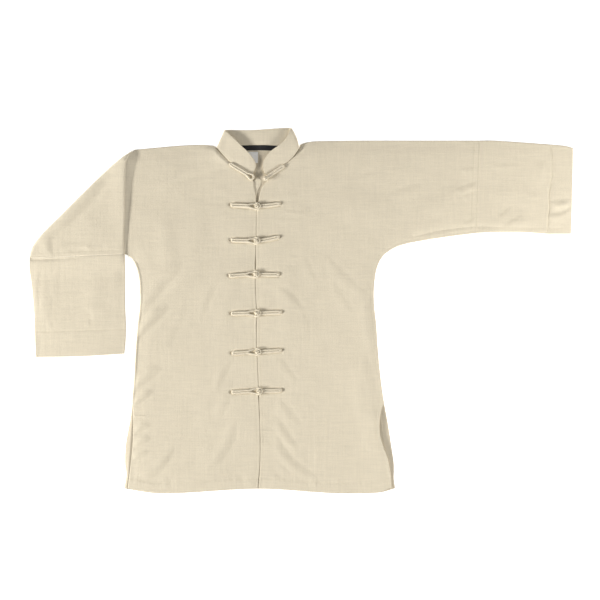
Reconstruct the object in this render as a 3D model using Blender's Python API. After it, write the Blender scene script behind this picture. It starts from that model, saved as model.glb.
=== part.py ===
"""Kung fu jacket in natural linen, laid flat with its right sleeve folded down beside the body.

Lengths are millimetres in the tables and functions, and metres in the finished objects.
X runs to the wearer's left, Y to the collar and Z up. The origin is on the underside of the back,
where the centre line crosses the line between the underarms. Every cloth piece is a thin wall.
"""
import math
from collections import namedtuple

import bmesh
import bpy
import numpy as np
from mathutils.geometry import delaunay_2d_cdt

METRE = 0.001

# Cloth
WALL = 1.2
BAND_WALL = 2.4
GAP = 0.3
LAYER = WALL + GAP

# How high the fronts lie above the surface, at their outer edges and inside, and over what width they settle
EDGE_TOP = LAYER + WALL
INNER_TOP = 4.3
EDGE_RUN = 35.0

# How far the fronts and the back stay off the collar's seam line
FRONT_NECK_CLEAR = 1.0
BACK_NECK_CLEAR = 0.5

# Mesh spacing on folded cloth, along outlines, and the least distance between two points
GRID = 26.0
EDGE_STEP = 24.0
POINT_CLEAR = 9.0

# Cord fastenings: the cord, the knot and where its neck begins, and the ring round it
CORD_RADIUS = 2.2
CORD_PITCH = 2.4
CORD_SIDES = 7
KNOT_RADIUS = 5.0
KNOT_LIFT = 8.0
NECK_REACH = 4.2
RING_RADIUS = 7.6
RING_SPREAD = 13.5
SEAT_GAP = 0.4

# Sections of a knot half: how far along its cords with their size there, then degrees round its ball
Section = namedtuple("Section", "along size")
CORD_SECTIONS = [Section(0.0, 0.35), Section(0.03, 0.8), Section(0.08, 1.0), Section(0.4, 1.0),
                 Section(0.7, 1.0), Section(0.92, 1.0), Section(1.0, 0.9)]
BALL_DEGREES = (158, 140, 115, 90, 62, 34, 10)

# Degrees round the section of two cords side by side, the first cord and the second
PAIR_DEGREES = ((1.0, (-80, -20, 35, 90, 150)), (-1.0, (30, 90, 145, 200, 260)))

# Degrees round a loop's ring, from the parting of its cords to the far side, and round its outer end
RING_DEGREES = (130, 108, 88, 70, 52, 34, 16)
TURN_DEGREES = (40, 90, 140)

# Neck tape and care label
TAPE_WIDTH = 12.0
TAPE_HALF_LENGTH = 62.0
TAPE_CLEAR = 1.3
TAPE_STEP = 12.0
LABEL_WIDTH = 26.0
LABEL_LENGTH = 27.0
LABEL_CLEAR = 1.0
TRIM_WALL = 1.0

# The sleeve that is folded down: its height over the hidden layers, and the radii of its rounded edges
TURNED_TOP = 8.6
TURNED_EDGE_TOP = 6.2
TURNED_EDGE_RUN = 8.0
DIAGONAL_EDGE_TOP = 2.2
DIAGONAL_EDGE_RUN = 6.0
TURNED_STEP = 12.0
TURNED_ROWS = (2.0, 6.5)
TURNED_FOLD_CLEAR = 10.5

# The hidden layers: their distance from the turned cloth above and at both edges, the groove round their rim,
# and where they step up on to the front
LAYERS_CLEAR = 0.8
LAYERS_REACH = 6.0
LAYERS_DIAGONAL_INSET = 15.0
LAYERS_EDGE_INSET = 7.0
LAYERS_GROOVE = 1.5
LAYERS_LIP = 0.25
LAYERS_STEP_X = -364.0
LAYERS_STEP_RUN = 12.0
BACK_DIAGONAL_INSET = 3.6

# Lower sleeves
TUBE_TOP = 5.0
TUBE_EDGE_RUN = 14.0
TUBE_EDGE_ROUND = 3.0
TUBE_ROUND_SHARE = 0.45
TUBE_SEAM_RUN = 30.0
TUBE_NEAR_EDGE = 2.5
TUBE_COLUMNS = 11
TUBE_ROWS = 10

# Outlines, each a smooth curve through its points: x, y in millimetres
SHOULDER_LEFT = [(108, 277), (150, 280), (254, 281), (400, 281), (531, 281)]
SHOULDER_RIGHT = [(-108, 269), (-130, 271), (-187, 269), (-245, 264), (-300, 259)]
UNDERARM_LEFT = [(523, 60), (446, 50), (389, 41), (350, 33), (320, 21), (298, 3), (284, -27), (278, -72),
                 (278, -110), (283, -158), (288, -230), (294, -290), (300, -335)]
SIDE_RIGHT = [(-302, -2), (-294, -16), (-286, -43), (-283, -72), (-283, -115), (-288, -158), (-293, -216),
              (-297, -288), (-302, -346)]
HIDDEN_UNDERARM = [(-538, 8), (-430, 13), (-345, 16), (-322, 13), (-313, 7), (-302, -2)]
DIAGONAL_FOLD = [(-300, 259), (-331, 238), (-372, 202), (-418, 158), (-475, 101), (-518, 58), (-540, 29),
                 (-547, 12)]
BACK_VENT_LEFT = [(300, -335), (310, -389), (319, -446), (326, -495), (326, -530), (329, -553)]
FRONT_VENT_LEFT = [(300, -335), (296, -366), (293, -389), (296, -425), (307, -473), (312, -510), (316, -552)]
BACK_VENT_RIGHT = [(-302, -346), (-305, -378), (-312, -418), (-317, -446), (-319, -490), (-316, -520),
                   (-321, -553)]
FRONT_VENT_RIGHT = [(-302, -346), (-299, -377), (-300, -425), (-302, -461), (-307, -509), (-312, -552)]
HEM_LEFT = [(316, -552), (290, -561), (200, -563), (125, -560), (60, -555), (2, -552)]
HEM_RIGHT = [(-312, -552), (-250, -562), (-187, -562), (-120, -558), (-60, -554), (1, -552)]
BACK_HEM = [(329, -553), (290, -563), (200, -565), (125, -561), (60, -556), (0, -554), (-60, -556),
            (-120, -560), (-187, -564), (-250, -564), (-321, -553)]
OPENING = [(-3, 116), (-4, 65), (-5.6, 0), (-6, -30), (-5.5, -84), (-3, -130), (-3.4, -200), (0, -269),
           (1.5, -317), (5, -413), (5, -485), (1.5, -552)]
OPENING_TOP_LEFT = [(21, 184), (10, 169), (6, 158), (3, 144), (0, 130)]
OPENING_TOP_RIGHT = [(-11, 183), (-9, 166), (-6, 151), (-4.6, 132)]
UNDERLAP = [(-10, 186), (-2, 192), (5, 190), (8.5, 184), (5, 172), (-2, 158), (-8, 140)]
UNDERLAP_STEP = 9.0
UNDERLAP_WIDTH = 26.0
UNDERLAP_SHOULDER = 140.0
UNDERLAP_CORNER = (-30, 170)
UNDERLAP_END = -478.0
SLEEVE_SEAM_RIGHT = [(-547, 0), (-320.5, 9)]
TURNED_RIGHT_EDGE = [(-300, 258), (-310, 222), (-316, 180), (-318, 100), (-321, 40), (-321, 9)]

# Stand collar: the seam line and the top line of the band, with the height of the wall's middle at each,
# and how far the band bows outwards between them
Station = namedtuple("Station", "seam_x seam_y seam_z top_x top_y top_z bow", defaults=(0.0,))
COLLAR = [
    Station(-16.5, 199.6, 4.4, -10.6, 205.2, 4.6),
    Station(-20.4, 201.1, 4.4, -5.6, 217.2, 5.4),
    Station(-26.4, 205.0, 4.4, -6.2, 229.2, 6.4),
    Station(-36.0, 211.2, 4.6, -12.2, 238.8, 7.6),
    Station(-50.4, 221.8, 4.9, -23.5, 253.2, 9.4),
    Station(-67.7, 231.6, 5.4, -39.0, 267.5, 11.0),
    Station(-84.5, 248.6, 6.4, -58.8, 287.0, 11.5),
    Station(-94.0, 260.0, 7.2, -73.0, 299.5, 9.4),
    Station(-97.5, 265.0, 5.8, -79.5, 305.6, 6.8),
    Station(-97.8, 266.0, 2.8, -80.0, 306.2, 3.0),
    Station(-93.5, 267.0, 1.25, -76.0, 306.8, 1.25),
    Station(-60.0, 269.6, 1.25, -48.0, 306.4, 1.25),
    Station(-20.0, 271.3, 1.25, -16.0, 306.4, 1.25),
    Station(20.0, 271.4, 1.25, 16.0, 308.4, 1.25),
    Station(60.0, 268.8, 1.25, 48.0, 310.8, 1.25),
    Station(93.0, 263.5, 1.25, 75.0, 311.8, 1.25),
    Station(97.6, 262.4, 2.8, 79.4, 311.4, 3.0, 3.5),
    Station(97.4, 261.4, 5.8, 79.0, 310.4, 6.8, 3.5),
    Station(94.5, 256.5, 7.2, 75.0, 301.0, 9.4, 2.5),
    Station(85.2, 244.1, 6.4, 68.4, 287.3, 11.5),
    Station(69.6, 229.6, 5.4, 53.6, 271.4, 11.0),
    Station(53.3, 221.3, 4.9, 34.5, 258.5, 9.4),
    Station(37.2, 211.7, 4.6, 20.8, 243.6, 7.6),
    Station(28.0, 204.8, 4.4, 14.4, 232.0, 6.4),
    Station(23.4, 201.2, 4.4, 11.8, 217.5, 5.4),
    Station(20.2, 198.6, 4.4, 14.6, 206.5, 4.6),
]
COLLAR_COLUMNS = 5

# Cord fastenings below the collar: height on the opening line, and the outer ends of both halves
Frog = namedtuple("Frog", "centre_y loop_x loop_y knot_x knot_y")
FROGS = [
    Frog(124, -63, 127, 51, 130),
    Frog(41, -62, 43, 49, 50),
    Frog(-39, -67, -42, 49, -40),
    Frog(-132, -62, -133, 54, -130),
    Frog(-225, -60, -228, 54, -221),
    Frog(-319, -61, -321, 55, -317),
]

# The open collar fastening: outer and inner end of each half, beside the neck seam
NECK_LOOP_OUTER = (-66.0, 225.5)
NECK_RING_CENTRE = (-16.5, 194.5)
NECK_RING_RADIUS = 6.4
NECK_RING_SPREAD = 5.0
NECK_KNOT_OUTER = (59.0, 219.0)
NECK_KNOT_INNER = (26.5, 198.5)
NECK_KNOT_CENTRE = (17.5, 191.5)

# Main folds: a start, a middle and an end point, half the fold's width, and its height (a trough is negative)
Fold = namedtuple("Fold", "x0 y0 xm ym x1 y1 width height")
FOLDS_LEFT = [
    Fold(104, 247, 78, 222, 52, 206, 13, 3.6),
    Fold(112, 262, 106, 250, 100, 238, 10, 2.0),
    Fold(305, 149, 385, 178, 449, 206, 17, 4.5),
    Fold(228, 187, 252, 194, 280, 200, 11, 2.2),
    Fold(350, 36, 358, 44, 366, 52, 9, 2.5),
    Fold(182, -10, 214, -46, 240, -77, 13, 3.4),
    Fold(65, -84, 98, -103, 110, -134, 12, 2.6),
    Fold(60, -238, 76, -262, 92, -281, 11, 2.8),
    Fold(58, -330, 74, -352, 92, -367, 11, 2.8),
    Fold(54, -396, 78, -450, 150, -524, 13, 4.4),
    Fold(38, -400, 46, -450, 84, -505, 12, -0.9),
    Fold(262, -230, 270, -310, 280, -400, 12, -1.0),
    Fold(238, -220, 246, -310, 256, -420, 20, 2.2),
    Fold(150, -180, 142, -330, 134, -500, 22, 1.8),
    Fold(420, 90, 450, 140, 500, 170, 20, 2.0),
]
FOLDS_RIGHT = [
    Fold(-104, 250, -84, 231, -58, 213, 13, 3.6),
    Fold(-112, 260, -108, 250, -102, 240, 10, 2.0),
    Fold(-228, -78, -250, -98, -272, -118, 11, 2.8),
    Fold(-232, -134, -252, -158, -272, -182, 12, 4.8),
    Fold(-246, -178, -254, -192, -268, -205, 11, -0.9),
    Fold(-86, -52, -112, -90, -132, -140, 13, 3.0),
    Fold(-250, -279, -268, -290, -284, -299, 11, 2.6),
    Fold(-264, -330, -276, -338, -288, -344, 11, 2.8),
    Fold(-66, -242, -92, -280, -108, -322, 12, 2.8),
    Fold(-54, -384, -76, -446, -118, -502, 13, 3.4),
    Fold(-150, -180, -142, -330, -134, -500, 22, 1.6),
    Fold(-230, 120, -220, 40, -226, -30, 24, 1.6),
]
FOLDS_TURNED = [
    Fold(-314, 240, -334, 170, -338, 50, 20, 6.5),
    Fold(-379, 180, -437, 112, -497, 34, 13, -2.2),
]
FOLDS_LOWER_RIGHT = [
    Fold(-535, -18, -500, -10, -430, -4, 9, 1.6),
    Fold(-500, -40, -480, -110, -500, -190, 26, 1.8),
    Fold(-380, -30, -392, -110, -380, -200, 24, 1.4),
]
FOLDS_LOWER_LEFT = [
    Fold(566, 225, 600, 222, 634, 226, 11, 2.2),
    Fold(578, 104, 596, 92, 614, 84, 10, 2.6),
    Fold(690, 236, 686, 160, 690, 90, 9, 1.8),
    Fold(560, 170, 600, 150, 660, 160, 24, 1.6),
]

LOWER_LEFT_START = [(531.6, 281), (523.4, 60)]
LOWER_LEFT_TOP = [(531.6, 281), (565, 281), (618, 278), (684, 273), (734, 269), (756, 264)]
LOWER_LEFT_BOTTOM = [(523.4, 60), (562, 62), (638, 62), (696, 58), (734, 58), (751, 58)]
LOWER_RIGHT_LEFT = [(-547, -1), (-547, -29), (-542, -72), (-537, -130), (-535, -190), (-533, -238)]
LOWER_RIGHT_RIGHT = [(-320.5, 8), (-319, -43), (-319, -115), (-317, -163), (-318, -200), (-321, -230)]

LINEN = (0.783, 0.701, 0.552)
LINEN_CORD = (0.803, 0.723, 0.571)
INSIDE = (0.700, 0.617, 0.472)
BLACK = (0.012, 0.012, 0.013)
WHITE = (0.800, 0.800, 0.780)


def clear_scene():
    for item in list(bpy.data.objects):
        bpy.data.objects.remove(item, do_unlink=True)


def cloth_material(name, colour, roughness):
    material = bpy.data.materials.new(name)
    material.use_nodes = True
    shader = material.node_tree.nodes["Principled BSDF"]
    shader.inputs["Base Color"].default_value = (*colour, 1.0)
    shader.inputs["Roughness"].default_value = roughness
    shader.inputs["Metallic"].default_value = 0.0
    return material


def make_object(name, points, faces, material, smooth=True, closed=True):
    """An object from points in millimetres; each has its own copy of its material."""
    mesh = bpy.data.meshes.new(name)
    mesh.from_pydata([tuple(float(value) * METRE for value in point) for point in points], [], faces)
    mesh.update()
    if closed:
        shape = bmesh.new()
        shape.from_mesh(mesh)
        bmesh.ops.recalc_face_normals(shape, faces=shape.faces)
        shape.to_mesh(mesh)
        shape.free()
    if smooth:
        mesh.shade_smooth()
        mesh.set_sharp_from_angle(angle=math.radians(50.0))
    own = material.copy()
    own.name = name
    mesh.materials.append(own)
    item = bpy.data.objects.new(name, mesh)
    bpy.context.scene.collection.objects.link(item)
    return item


def add_wall(item, wall, offset, even=True):
    """Gives a sheet its thickness: offset -1 keeps the sheet as the outer side, 0 as the middle."""
    solidify = item.modifiers.new("wall", "SOLIDIFY")
    solidify.thickness = wall * METRE
    solidify.offset = offset
    solidify.use_even_offset = even
    solidify.use_rim = True


def ease(value):
    """0 below 0, 1 above 1, and smooth between."""
    held = np.clip(value, 0.0, 1.0)
    return held * held * (3.0 - 2.0 * held)


def round_over(value):
    """A quarter round: 0 at the edge, 1 from a run inwards."""
    held = np.clip(value, 0.0, 1.0)
    return np.sqrt(1.0 - (1.0 - held) ** 2)


def curve(points, step):
    """A smooth curve through the points, as points about a step apart."""
    table = np.array(points, dtype=float)
    if len(table) == 2:
        count = max(1, round(float(np.linalg.norm(table[1] - table[0])) / step))
        return [table[0] + (table[1] - table[0]) * i / count for i in range(count + 1)]
    before = 2 * table[0] - table[1]
    after = 2 * table[-1] - table[-2]
    padded = np.vstack([before, table, after])
    result = [table[0]]
    for i in range(1, len(padded) - 2):
        p0, p1, p2, p3 = padded[i - 1:i + 3]
        count = max(1, round(float(np.linalg.norm(p2 - p1)) / step))
        start_slope = (p2 - p0) / (np.linalg.norm(p1 - p0) + np.linalg.norm(p2 - p1))
        end_slope = (p3 - p1) / (np.linalg.norm(p2 - p1) + np.linalg.norm(p3 - p2))
        reach = np.linalg.norm(p2 - p1)
        for j in range(1, count + 1):
            t = j / count
            result.append((2 * t**3 - 3 * t**2 + 1) * p1 + (t**3 - 2 * t**2 + t) * reach * start_slope
                          + (3 * t**2 - 2 * t**3) * p2 + (t**3 - t**2) * reach * end_slope)
    return result


def shifted(points, distance):
    """The line moved sideways, to the left of its direction."""
    line = np.array(points, dtype=float)
    along = np.gradient(line, axis=0)
    normal = np.stack([-along[:, 1], along[:, 0]], axis=1)
    normal /= np.linalg.norm(normal, axis=1)[:, None]
    return [tuple(point) for point in line + normal * distance]


def join(*lines):
    """One outline from several lines, without a point repeated where two of them meet."""
    result = []
    for line in lines:
        for point in line:
            point = np.array(point, dtype=float)
            if not result or np.linalg.norm(point - result[-1]) > GAP:
                result.append(point)
    if np.linalg.norm(result[0] - result[-1]) <= GAP:
        result.pop()
    return result


def nearest(xy, line):
    """Distance from each point to a line, and how far along the line the nearest place is, from 0 to 1."""
    xy = np.atleast_2d(np.array(xy, dtype=float))
    line = np.array(line, dtype=float)
    start, span = line[:-1], line[1:] - line[:-1]
    length = np.linalg.norm(span, axis=1)
    t = np.einsum("psk,sk->ps", xy[:, None, :] - start[None], span) / length**2
    t = np.clip(t, 0.0, 1.0)
    foot = start[None] + t[..., None] * span[None]
    away = np.linalg.norm(xy[:, None, :] - foot, axis=2)
    best = away.argmin(axis=1)
    rows = np.arange(len(xy))
    travelled = np.concatenate([[0.0], np.cumsum(length)[:-1]])
    along = (travelled[best] + t[rows, best] * length[best]) / length.sum()
    return away[rows, best], along


def fold_line(fold, count=9):
    start = np.array([fold.x0, fold.y0], dtype=float)
    middle = np.array([fold.xm, fold.ym], dtype=float)
    end = np.array([fold.x1, fold.y1], dtype=float)
    control = 2 * middle - 0.5 * (start + end)
    t = np.linspace(0.0, 1.0, count)[:, None]
    return (1 - t) ** 2 * start + 2 * (1 - t) * t * control + t**2 * end


def folded(xy, folds):
    """How much the folds lift or lower the cloth at each point."""
    rise = np.zeros(len(np.atleast_2d(xy)))
    for fold in folds:
        away, along = nearest(xy, fold_line(fold))
        end_taper = ease(np.minimum(along, 1.0 - along) / 0.3)
        rise += fold.height * end_taper * np.exp(-((away / fold.width) ** 2))
    return rise


def fold_points(folds):
    """Mesh points along each fold's crest and both its sides."""
    points = []
    for fold in folds:
        line = fold_line(fold, 33)
        length = float(np.linalg.norm(np.diff(line, axis=0), axis=1).sum())
        count = max(3, round(length / GRID) + 1)
        picked = line[np.linspace(2, 30, count).round().astype(int)]
        for side in (0.0, -1.1, 1.1):
            points += shifted(picked, side * fold.width)
    return points


def inside(xy, outline):
    """Which points lie inside a closed outline."""
    xy = np.atleast_2d(xy)
    corners = np.array(outline)
    result = np.zeros(len(xy), dtype=bool)
    for (x1, y1), (x2, y2) in zip(corners, np.roll(corners, -1, axis=0)):
        if y1 == y2:
            continue
        crosses = (y1 > xy[:, 1]) != (y2 > xy[:, 1])
        result ^= crosses & (xy[:, 0] < (x2 - x1) * (xy[:, 1] - y1) / (y2 - y1) + x1)
    return result


def sheet_points(outline, spacing, wanted):
    """Points inside an outline: the wanted ones first, then a staggered grid, none too close together."""
    corners = np.array(outline)
    closed = np.vstack([corners, corners[:1]])
    low, high = corners.min(axis=0), corners.max(axis=0)
    grid = []
    for row, y in enumerate(np.arange(low[1], high[1], spacing * 0.87)):
        start = low[0] + (spacing / 2 if row % 2 else 0.0)
        grid += [(x, y) for x in np.arange(start, high[0], spacing)]
    kept = []
    for group, clear in ((wanted, POINT_CLEAR), (grid, spacing * 0.55)):
        if not group:
            continue
        group = np.array(group, dtype=float)
        group = group[inside(group, outline)]
        group = group[nearest(group, closed)[0] > clear * 0.8]
        for point in group:
            if not kept or np.linalg.norm(np.array(kept) - point, axis=1).min() > clear:
                kept.append(point)
    return kept


def triangulate(outline, extra):
    """Triangles that fill an outline and use its points and the extra points."""
    points = [tuple(map(float, point)) for point in list(outline) + list(extra)]
    ring = list(range(len(outline)))
    found = delaunay_2d_cdt(points, [], [ring], 1, 1e-6)
    return np.array([tuple(point) for point in found[0]]), [tuple(face) for face in found[2]]


def sheet(name, outline, top, material, wall=WALL, spacing=None, wanted=()):
    """A cloth piece: its outline filled, lifted to a height, and given a wall downwards."""
    extra = sheet_points(outline, spacing, list(wanted)) if spacing else []
    xy, faces = triangulate(outline, extra)
    points = np.column_stack([xy, top(xy)])
    item = make_object(name, points, faces, material, smooth=spacing is not None, closed=False)
    add_wall(item, wall, -1.0)


def level(height):
    return lambda xy: np.full(len(xy), float(height))


def collar_seam(first, last, distance):
    """The collar's seam line between two stations, moved away from the band."""
    line = [(station.seam_x, station.seam_y) for station in COLLAR[first:last + 1]]
    return shifted(line, distance)


def opening_edge(top_points, side):
    """A front's edge along the opening, from the neck to the hem, half a gap from the middle."""
    line = list(top_points) + [(x + side * GAP, y) for x, y in OPENING]
    return curve(line, EDGE_STEP)


def front_left_outline():
    neck = [(108, 277), (103, 266)] + collar_seam(17, 25, FRONT_NECK_CLEAR)[1:] + [(22, 194)]
    return join(
        curve(SHOULDER_LEFT, EDGE_STEP)[::-1],
        neck,
        opening_edge(OPENING_TOP_LEFT, 1.0),
        curve(HEM_LEFT, EDGE_STEP)[::-1],
        curve(FRONT_VENT_LEFT, EDGE_STEP)[::-1],
        curve(UNDERARM_LEFT, EDGE_STEP)[::-1],
        curve([(523, 60), (531, 281)], EDGE_STEP),
    )


def front_right_outline():
    neck = [(-108, 269), (-102, 267)] + collar_seam(0, 8, FRONT_NECK_CLEAR)[::-1][1:] + [(-14, 192)]
    under_turned = [(-302, -2), (-313, 7), (-332, 14), (-332, 216), (-318, 231), (-300, 249), (-292, 259.5)]
    return join(
        curve(SHOULDER_RIGHT, EDGE_STEP)[:-1],
        under_turned[::-1],
        curve(SIDE_RIGHT, EDGE_STEP),
        curve(FRONT_VENT_RIGHT, EDGE_STEP),
        curve(HEM_RIGHT, EDGE_STEP),
        opening_edge(OPENING_TOP_RIGHT, -1.0)[::-1],
        neck[::-1],
    )


def back_outline():
    neck_left = [(108, 277), (104, 264), (98, 258.6)]
    neck_middle = collar_seam(10, 15, -BACK_NECK_CLEAR)
    neck_right = [(-99.5, 262.6), (-103, 265), (-108, 269)]
    fold = shifted(curve(DIAGONAL_FOLD, EDGE_STEP), BACK_DIAGONAL_INSET)
    return join(
        curve(SHOULDER_LEFT, EDGE_STEP)[::-1],
        neck_left,
        neck_middle[::-1],
        neck_right,
        curve(SHOULDER_RIGHT, EDGE_STEP)[:-1],
        fold,
        curve(HIDDEN_UNDERARM, EDGE_STEP),
        curve(SIDE_RIGHT, EDGE_STEP),
        curve(BACK_VENT_RIGHT, EDGE_STEP),
        curve(BACK_HEM, EDGE_STEP)[::-1],
        curve(BACK_VENT_LEFT, EDGE_STEP)[::-1],
        curve(UNDERARM_LEFT, EDGE_STEP)[::-1],
        curve([(523, 60), (531, 281)], EDGE_STEP),
    )


def front_top(xy, rims, folds):
    """Height of a front's outer side: low at its rims, higher inside, with its folds."""
    away = np.minimum.reduce([nearest(xy, curve(rim, EDGE_STEP))[0] for rim in rims])
    settled = ease(away / EDGE_RUN)
    lift = EDGE_TOP + (INNER_TOP - EDGE_TOP) * settled
    return lift + folded(xy, folds) * ease(away / (0.5 * EDGE_RUN))


def left_top(xy):
    return front_top(xy, [SHOULDER_LEFT, UNDERARM_LEFT, FRONT_VENT_LEFT, HEM_LEFT], FOLDS_LEFT)


def right_top(xy):
    return front_top(xy, [SHOULDER_RIGHT, SIDE_RIGHT, FRONT_VENT_RIGHT, HEM_RIGHT], FOLDS_RIGHT)


def turned_outline():
    """The turned-over stretch of the right sleeve: diagonal fold, seam and raised right edge."""
    return join(
        curve(DIAGONAL_FOLD, TURNED_STEP),
        curve(SLEEVE_SEAM_RIGHT, EDGE_STEP),
        curve(TURNED_RIGHT_EDGE, TURNED_STEP)[::-1],
    )


def turned_top(xy):
    fold_away = nearest(xy, curve(DIAGONAL_FOLD, TURNED_STEP))[0]
    edge_away = nearest(xy, curve(TURNED_RIGHT_EDGE, TURNED_STEP))[0]
    height = TURNED_TOP + folded(xy, FOLDS_TURNED)
    height = TURNED_EDGE_TOP + (height - TURNED_EDGE_TOP) * round_over(edge_away / TURNED_EDGE_RUN)
    return DIAGONAL_EDGE_TOP + (height - DIAGONAL_EDGE_TOP) * round_over(fold_away / DIAGONAL_EDGE_RUN)


def make_turned(material):
    """Rows of points just inside both rounded edges, then points along the folds, then a grid."""
    outline = turned_outline()
    closed = np.vstack([outline, outline[:1]])
    rows = []
    for inset in TURNED_ROWS:
        rows += shifted(curve(DIAGONAL_FOLD, TURNED_STEP)[1:-1], inset)
        rows += shifted(curve(TURNED_RIGHT_EDGE, TURNED_STEP)[1:-1], -inset)
    grid = sheet_points(outline, GRID, [])
    kept = []
    for group, edge_clear, point_clear in ((rows, 0.8 * TURNED_ROWS[0], 0.8 * TURNED_ROWS[0]),
                                           (fold_points(FOLDS_TURNED), TURNED_FOLD_CLEAR, POINT_CLEAR),
                                           (grid, TURNED_FOLD_CLEAR, 0.5 * GRID)):
        group = np.array(group)
        group = group[inside(group, outline) & (nearest(group, closed)[0] > edge_clear)]
        for point in group:
            if not kept or np.linalg.norm(np.array(kept) - point, axis=1).min() > point_clear:
                kept.append(point)
    xy, faces = triangulate(outline, kept)
    points = np.column_stack([xy, turned_top(xy)])
    item = make_object("sleeve_right_turned", points, faces, material, closed=False)
    add_wall(item, WALL, -1.0, even=False)


def layers_outline():
    """The hidden layers end a little inside the turned cloth, all round."""
    fold = shifted(curve(DIAGONAL_FOLD, EDGE_STEP)[1:-1], LAYERS_DIAGONAL_INSET)
    right = shifted(curve(TURNED_RIGHT_EDGE, EDGE_STEP)[2:-1], -LAYERS_EDGE_INSET)
    return join(fold, [(-526, 15), (-430, 18), (-345, 21)], right[::-1])


def layers_top(xy):
    """Just under the turned cloth, measured over a small patch so that no slope of it is touched."""
    steps = (-LAYERS_REACH, 0.0, LAYERS_REACH)
    patch = [turned_top(xy + np.array([dx, dy])) for dx in steps for dy in steps]
    return np.minimum.reduce(patch) - WALL - LAYERS_CLEAR


def layers_bottom(xy):
    """On the back, and stepped up on to the front where the front reaches under the fold."""
    step = ease((xy[:, 0] - LAYERS_STEP_X) / LAYERS_STEP_RUN)
    return LAYER + step * (right_top(xy).max() + SEAT_GAP - LAYER)


def make_layers(material):
    """One closed solid for the hidden layers, with a groove round its rim between them."""
    outline = layers_outline()
    columns = [(x, y) for x in (LAYERS_STEP_X - 1.0, LAYERS_STEP_X + LAYERS_STEP_RUN + 1.0)
               for y in range(32, 200, 22)]
    extra = sheet_points(outline, GRID, columns)
    xy, faces = triangulate(outline, extra)
    count = len(outline)
    low, high = layers_bottom(xy), layers_top(xy)
    centre = np.array(outline).mean(axis=0)
    inward = centre - xy[:count]
    inward /= np.linalg.norm(inward, axis=1)[:, None]
    middle = 0.5 * (low + high)[:count]
    points = [(x, y, z) for (x, y), z in zip(xy, high)]
    points += [(x, y, z) for (x, y), z in zip(xy, low)]
    total = len(xy)
    for inset, shift in ((0.0, LAYERS_LIP), (LAYERS_GROOVE, 0.0), (0.0, -LAYERS_LIP)):
        ring = xy[:count] + inward * inset
        points += [(x, y, z + shift) for (x, y), z in zip(ring, middle)]
    solid = list(faces) + [tuple(total + i for i in reversed(face)) for face in faces]
    rings = [0, 2 * total, 2 * total + count, 2 * total + 2 * count, total]
    for upper, lower in zip(rings, rings[1:]):
        for i in range(count):
            j = (i + 1) % count
            solid.append((upper + i, lower + i, lower + j, upper + j))
    make_object("sleeve_right_layers", points, solid, material)


def tube_top(xy, sides, folds, start_line, start_top):
    """Height of a lower sleeve's outer side: round at both its long edges, lifted near its seam."""
    away = np.minimum(nearest(xy, sides[0])[0], nearest(xy, sides[1])[0])
    from_seam = nearest(xy, start_line)[0]
    height = TUBE_TOP + (start_top - TUBE_TOP) * (1.0 - ease(from_seam / TUBE_SEAM_RUN))
    height = height + folded(xy, folds)
    rise = (TUBE_ROUND_SHARE * round_over(away / TUBE_EDGE_ROUND)
            + (1.0 - TUBE_ROUND_SHARE) * ease(away / TUBE_EDGE_RUN))
    return EDGE_TOP * 0.5 + (height - EDGE_TOP * 0.5) * rise


def make_tube(name, side_a, side_b, folds, start_line, start_top, material):
    """A flattened sleeve: rings across it, an outer and an inner wall, both ends open.

    Side a is on the left of side b when seen from the sleeve's start.
    """
    steps = [i / TUBE_ROWS for i in range(TUBE_ROWS + 1)]
    sides = []
    for table in (side_a, side_b):
        line = np.array(curve(table, 4.0))
        travelled = np.concatenate([[0.0], np.cumsum(np.linalg.norm(np.diff(line, axis=0), axis=1))])
        sides.append(np.column_stack([np.interp(np.array(steps) * travelled[-1], travelled, line[:, k])
                                      for k in (0, 1)]))
    points = []
    for skin in (0.0, WALL):
        for a, b in zip(*sides):
            width = float(np.linalg.norm(b - a))
            column = width / TUBE_COLUMNS
            inset = [skin, TUBE_NEAR_EDGE + skin]
            inset += list(np.linspace(column, width - column, TUBE_COLUMNS - 1))
            inset += [width - TUBE_NEAR_EDGE - skin, width - skin]
            upper = np.array([a + (b - a) * along / width for along in inset])
            height = tube_top(upper, sides, folds, start_line, start_top) - skin
            height[0] = EDGE_TOP * 0.5
            height[-1] = EDGE_TOP * 0.5
            height[1:-1] = np.maximum(height[1:-1], skin + 0.5 * (EDGE_TOP - 2 * WALL) + 0.75 * (WALL - skin))
            points += [(x, y, z) for (x, y), z in zip(upper, height)]
            for along in (width - TUBE_EDGE_ROUND - skin, 0.5 * width, TUBE_EDGE_ROUND + skin):
                x, y = a + (b - a) * along / width
                points.append((x, y, skin))
    ring = TUBE_COLUMNS + 3 + 3
    rows = TUBE_ROWS + 1
    faces = []
    for skin in (0, 1):
        base = skin * rows * ring
        for row in range(rows - 1):
            for i in range(ring):
                j = (i + 1) % ring
                quad = (base + row * ring + i, base + row * ring + j,
                        base + (row + 1) * ring + j, base + (row + 1) * ring + i)
                faces.append(quad if skin else quad[::-1])
    inner = rows * ring
    for i in range(ring):
        j = (i + 1) % ring
        faces.append((i, inner + i, inner + j, j)[::-1])
        last = (rows - 1) * ring
        faces.append((last + i, last + j, inner + last + j, inner + last + i)[::-1])
    make_object(name, points, faces, material)


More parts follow.
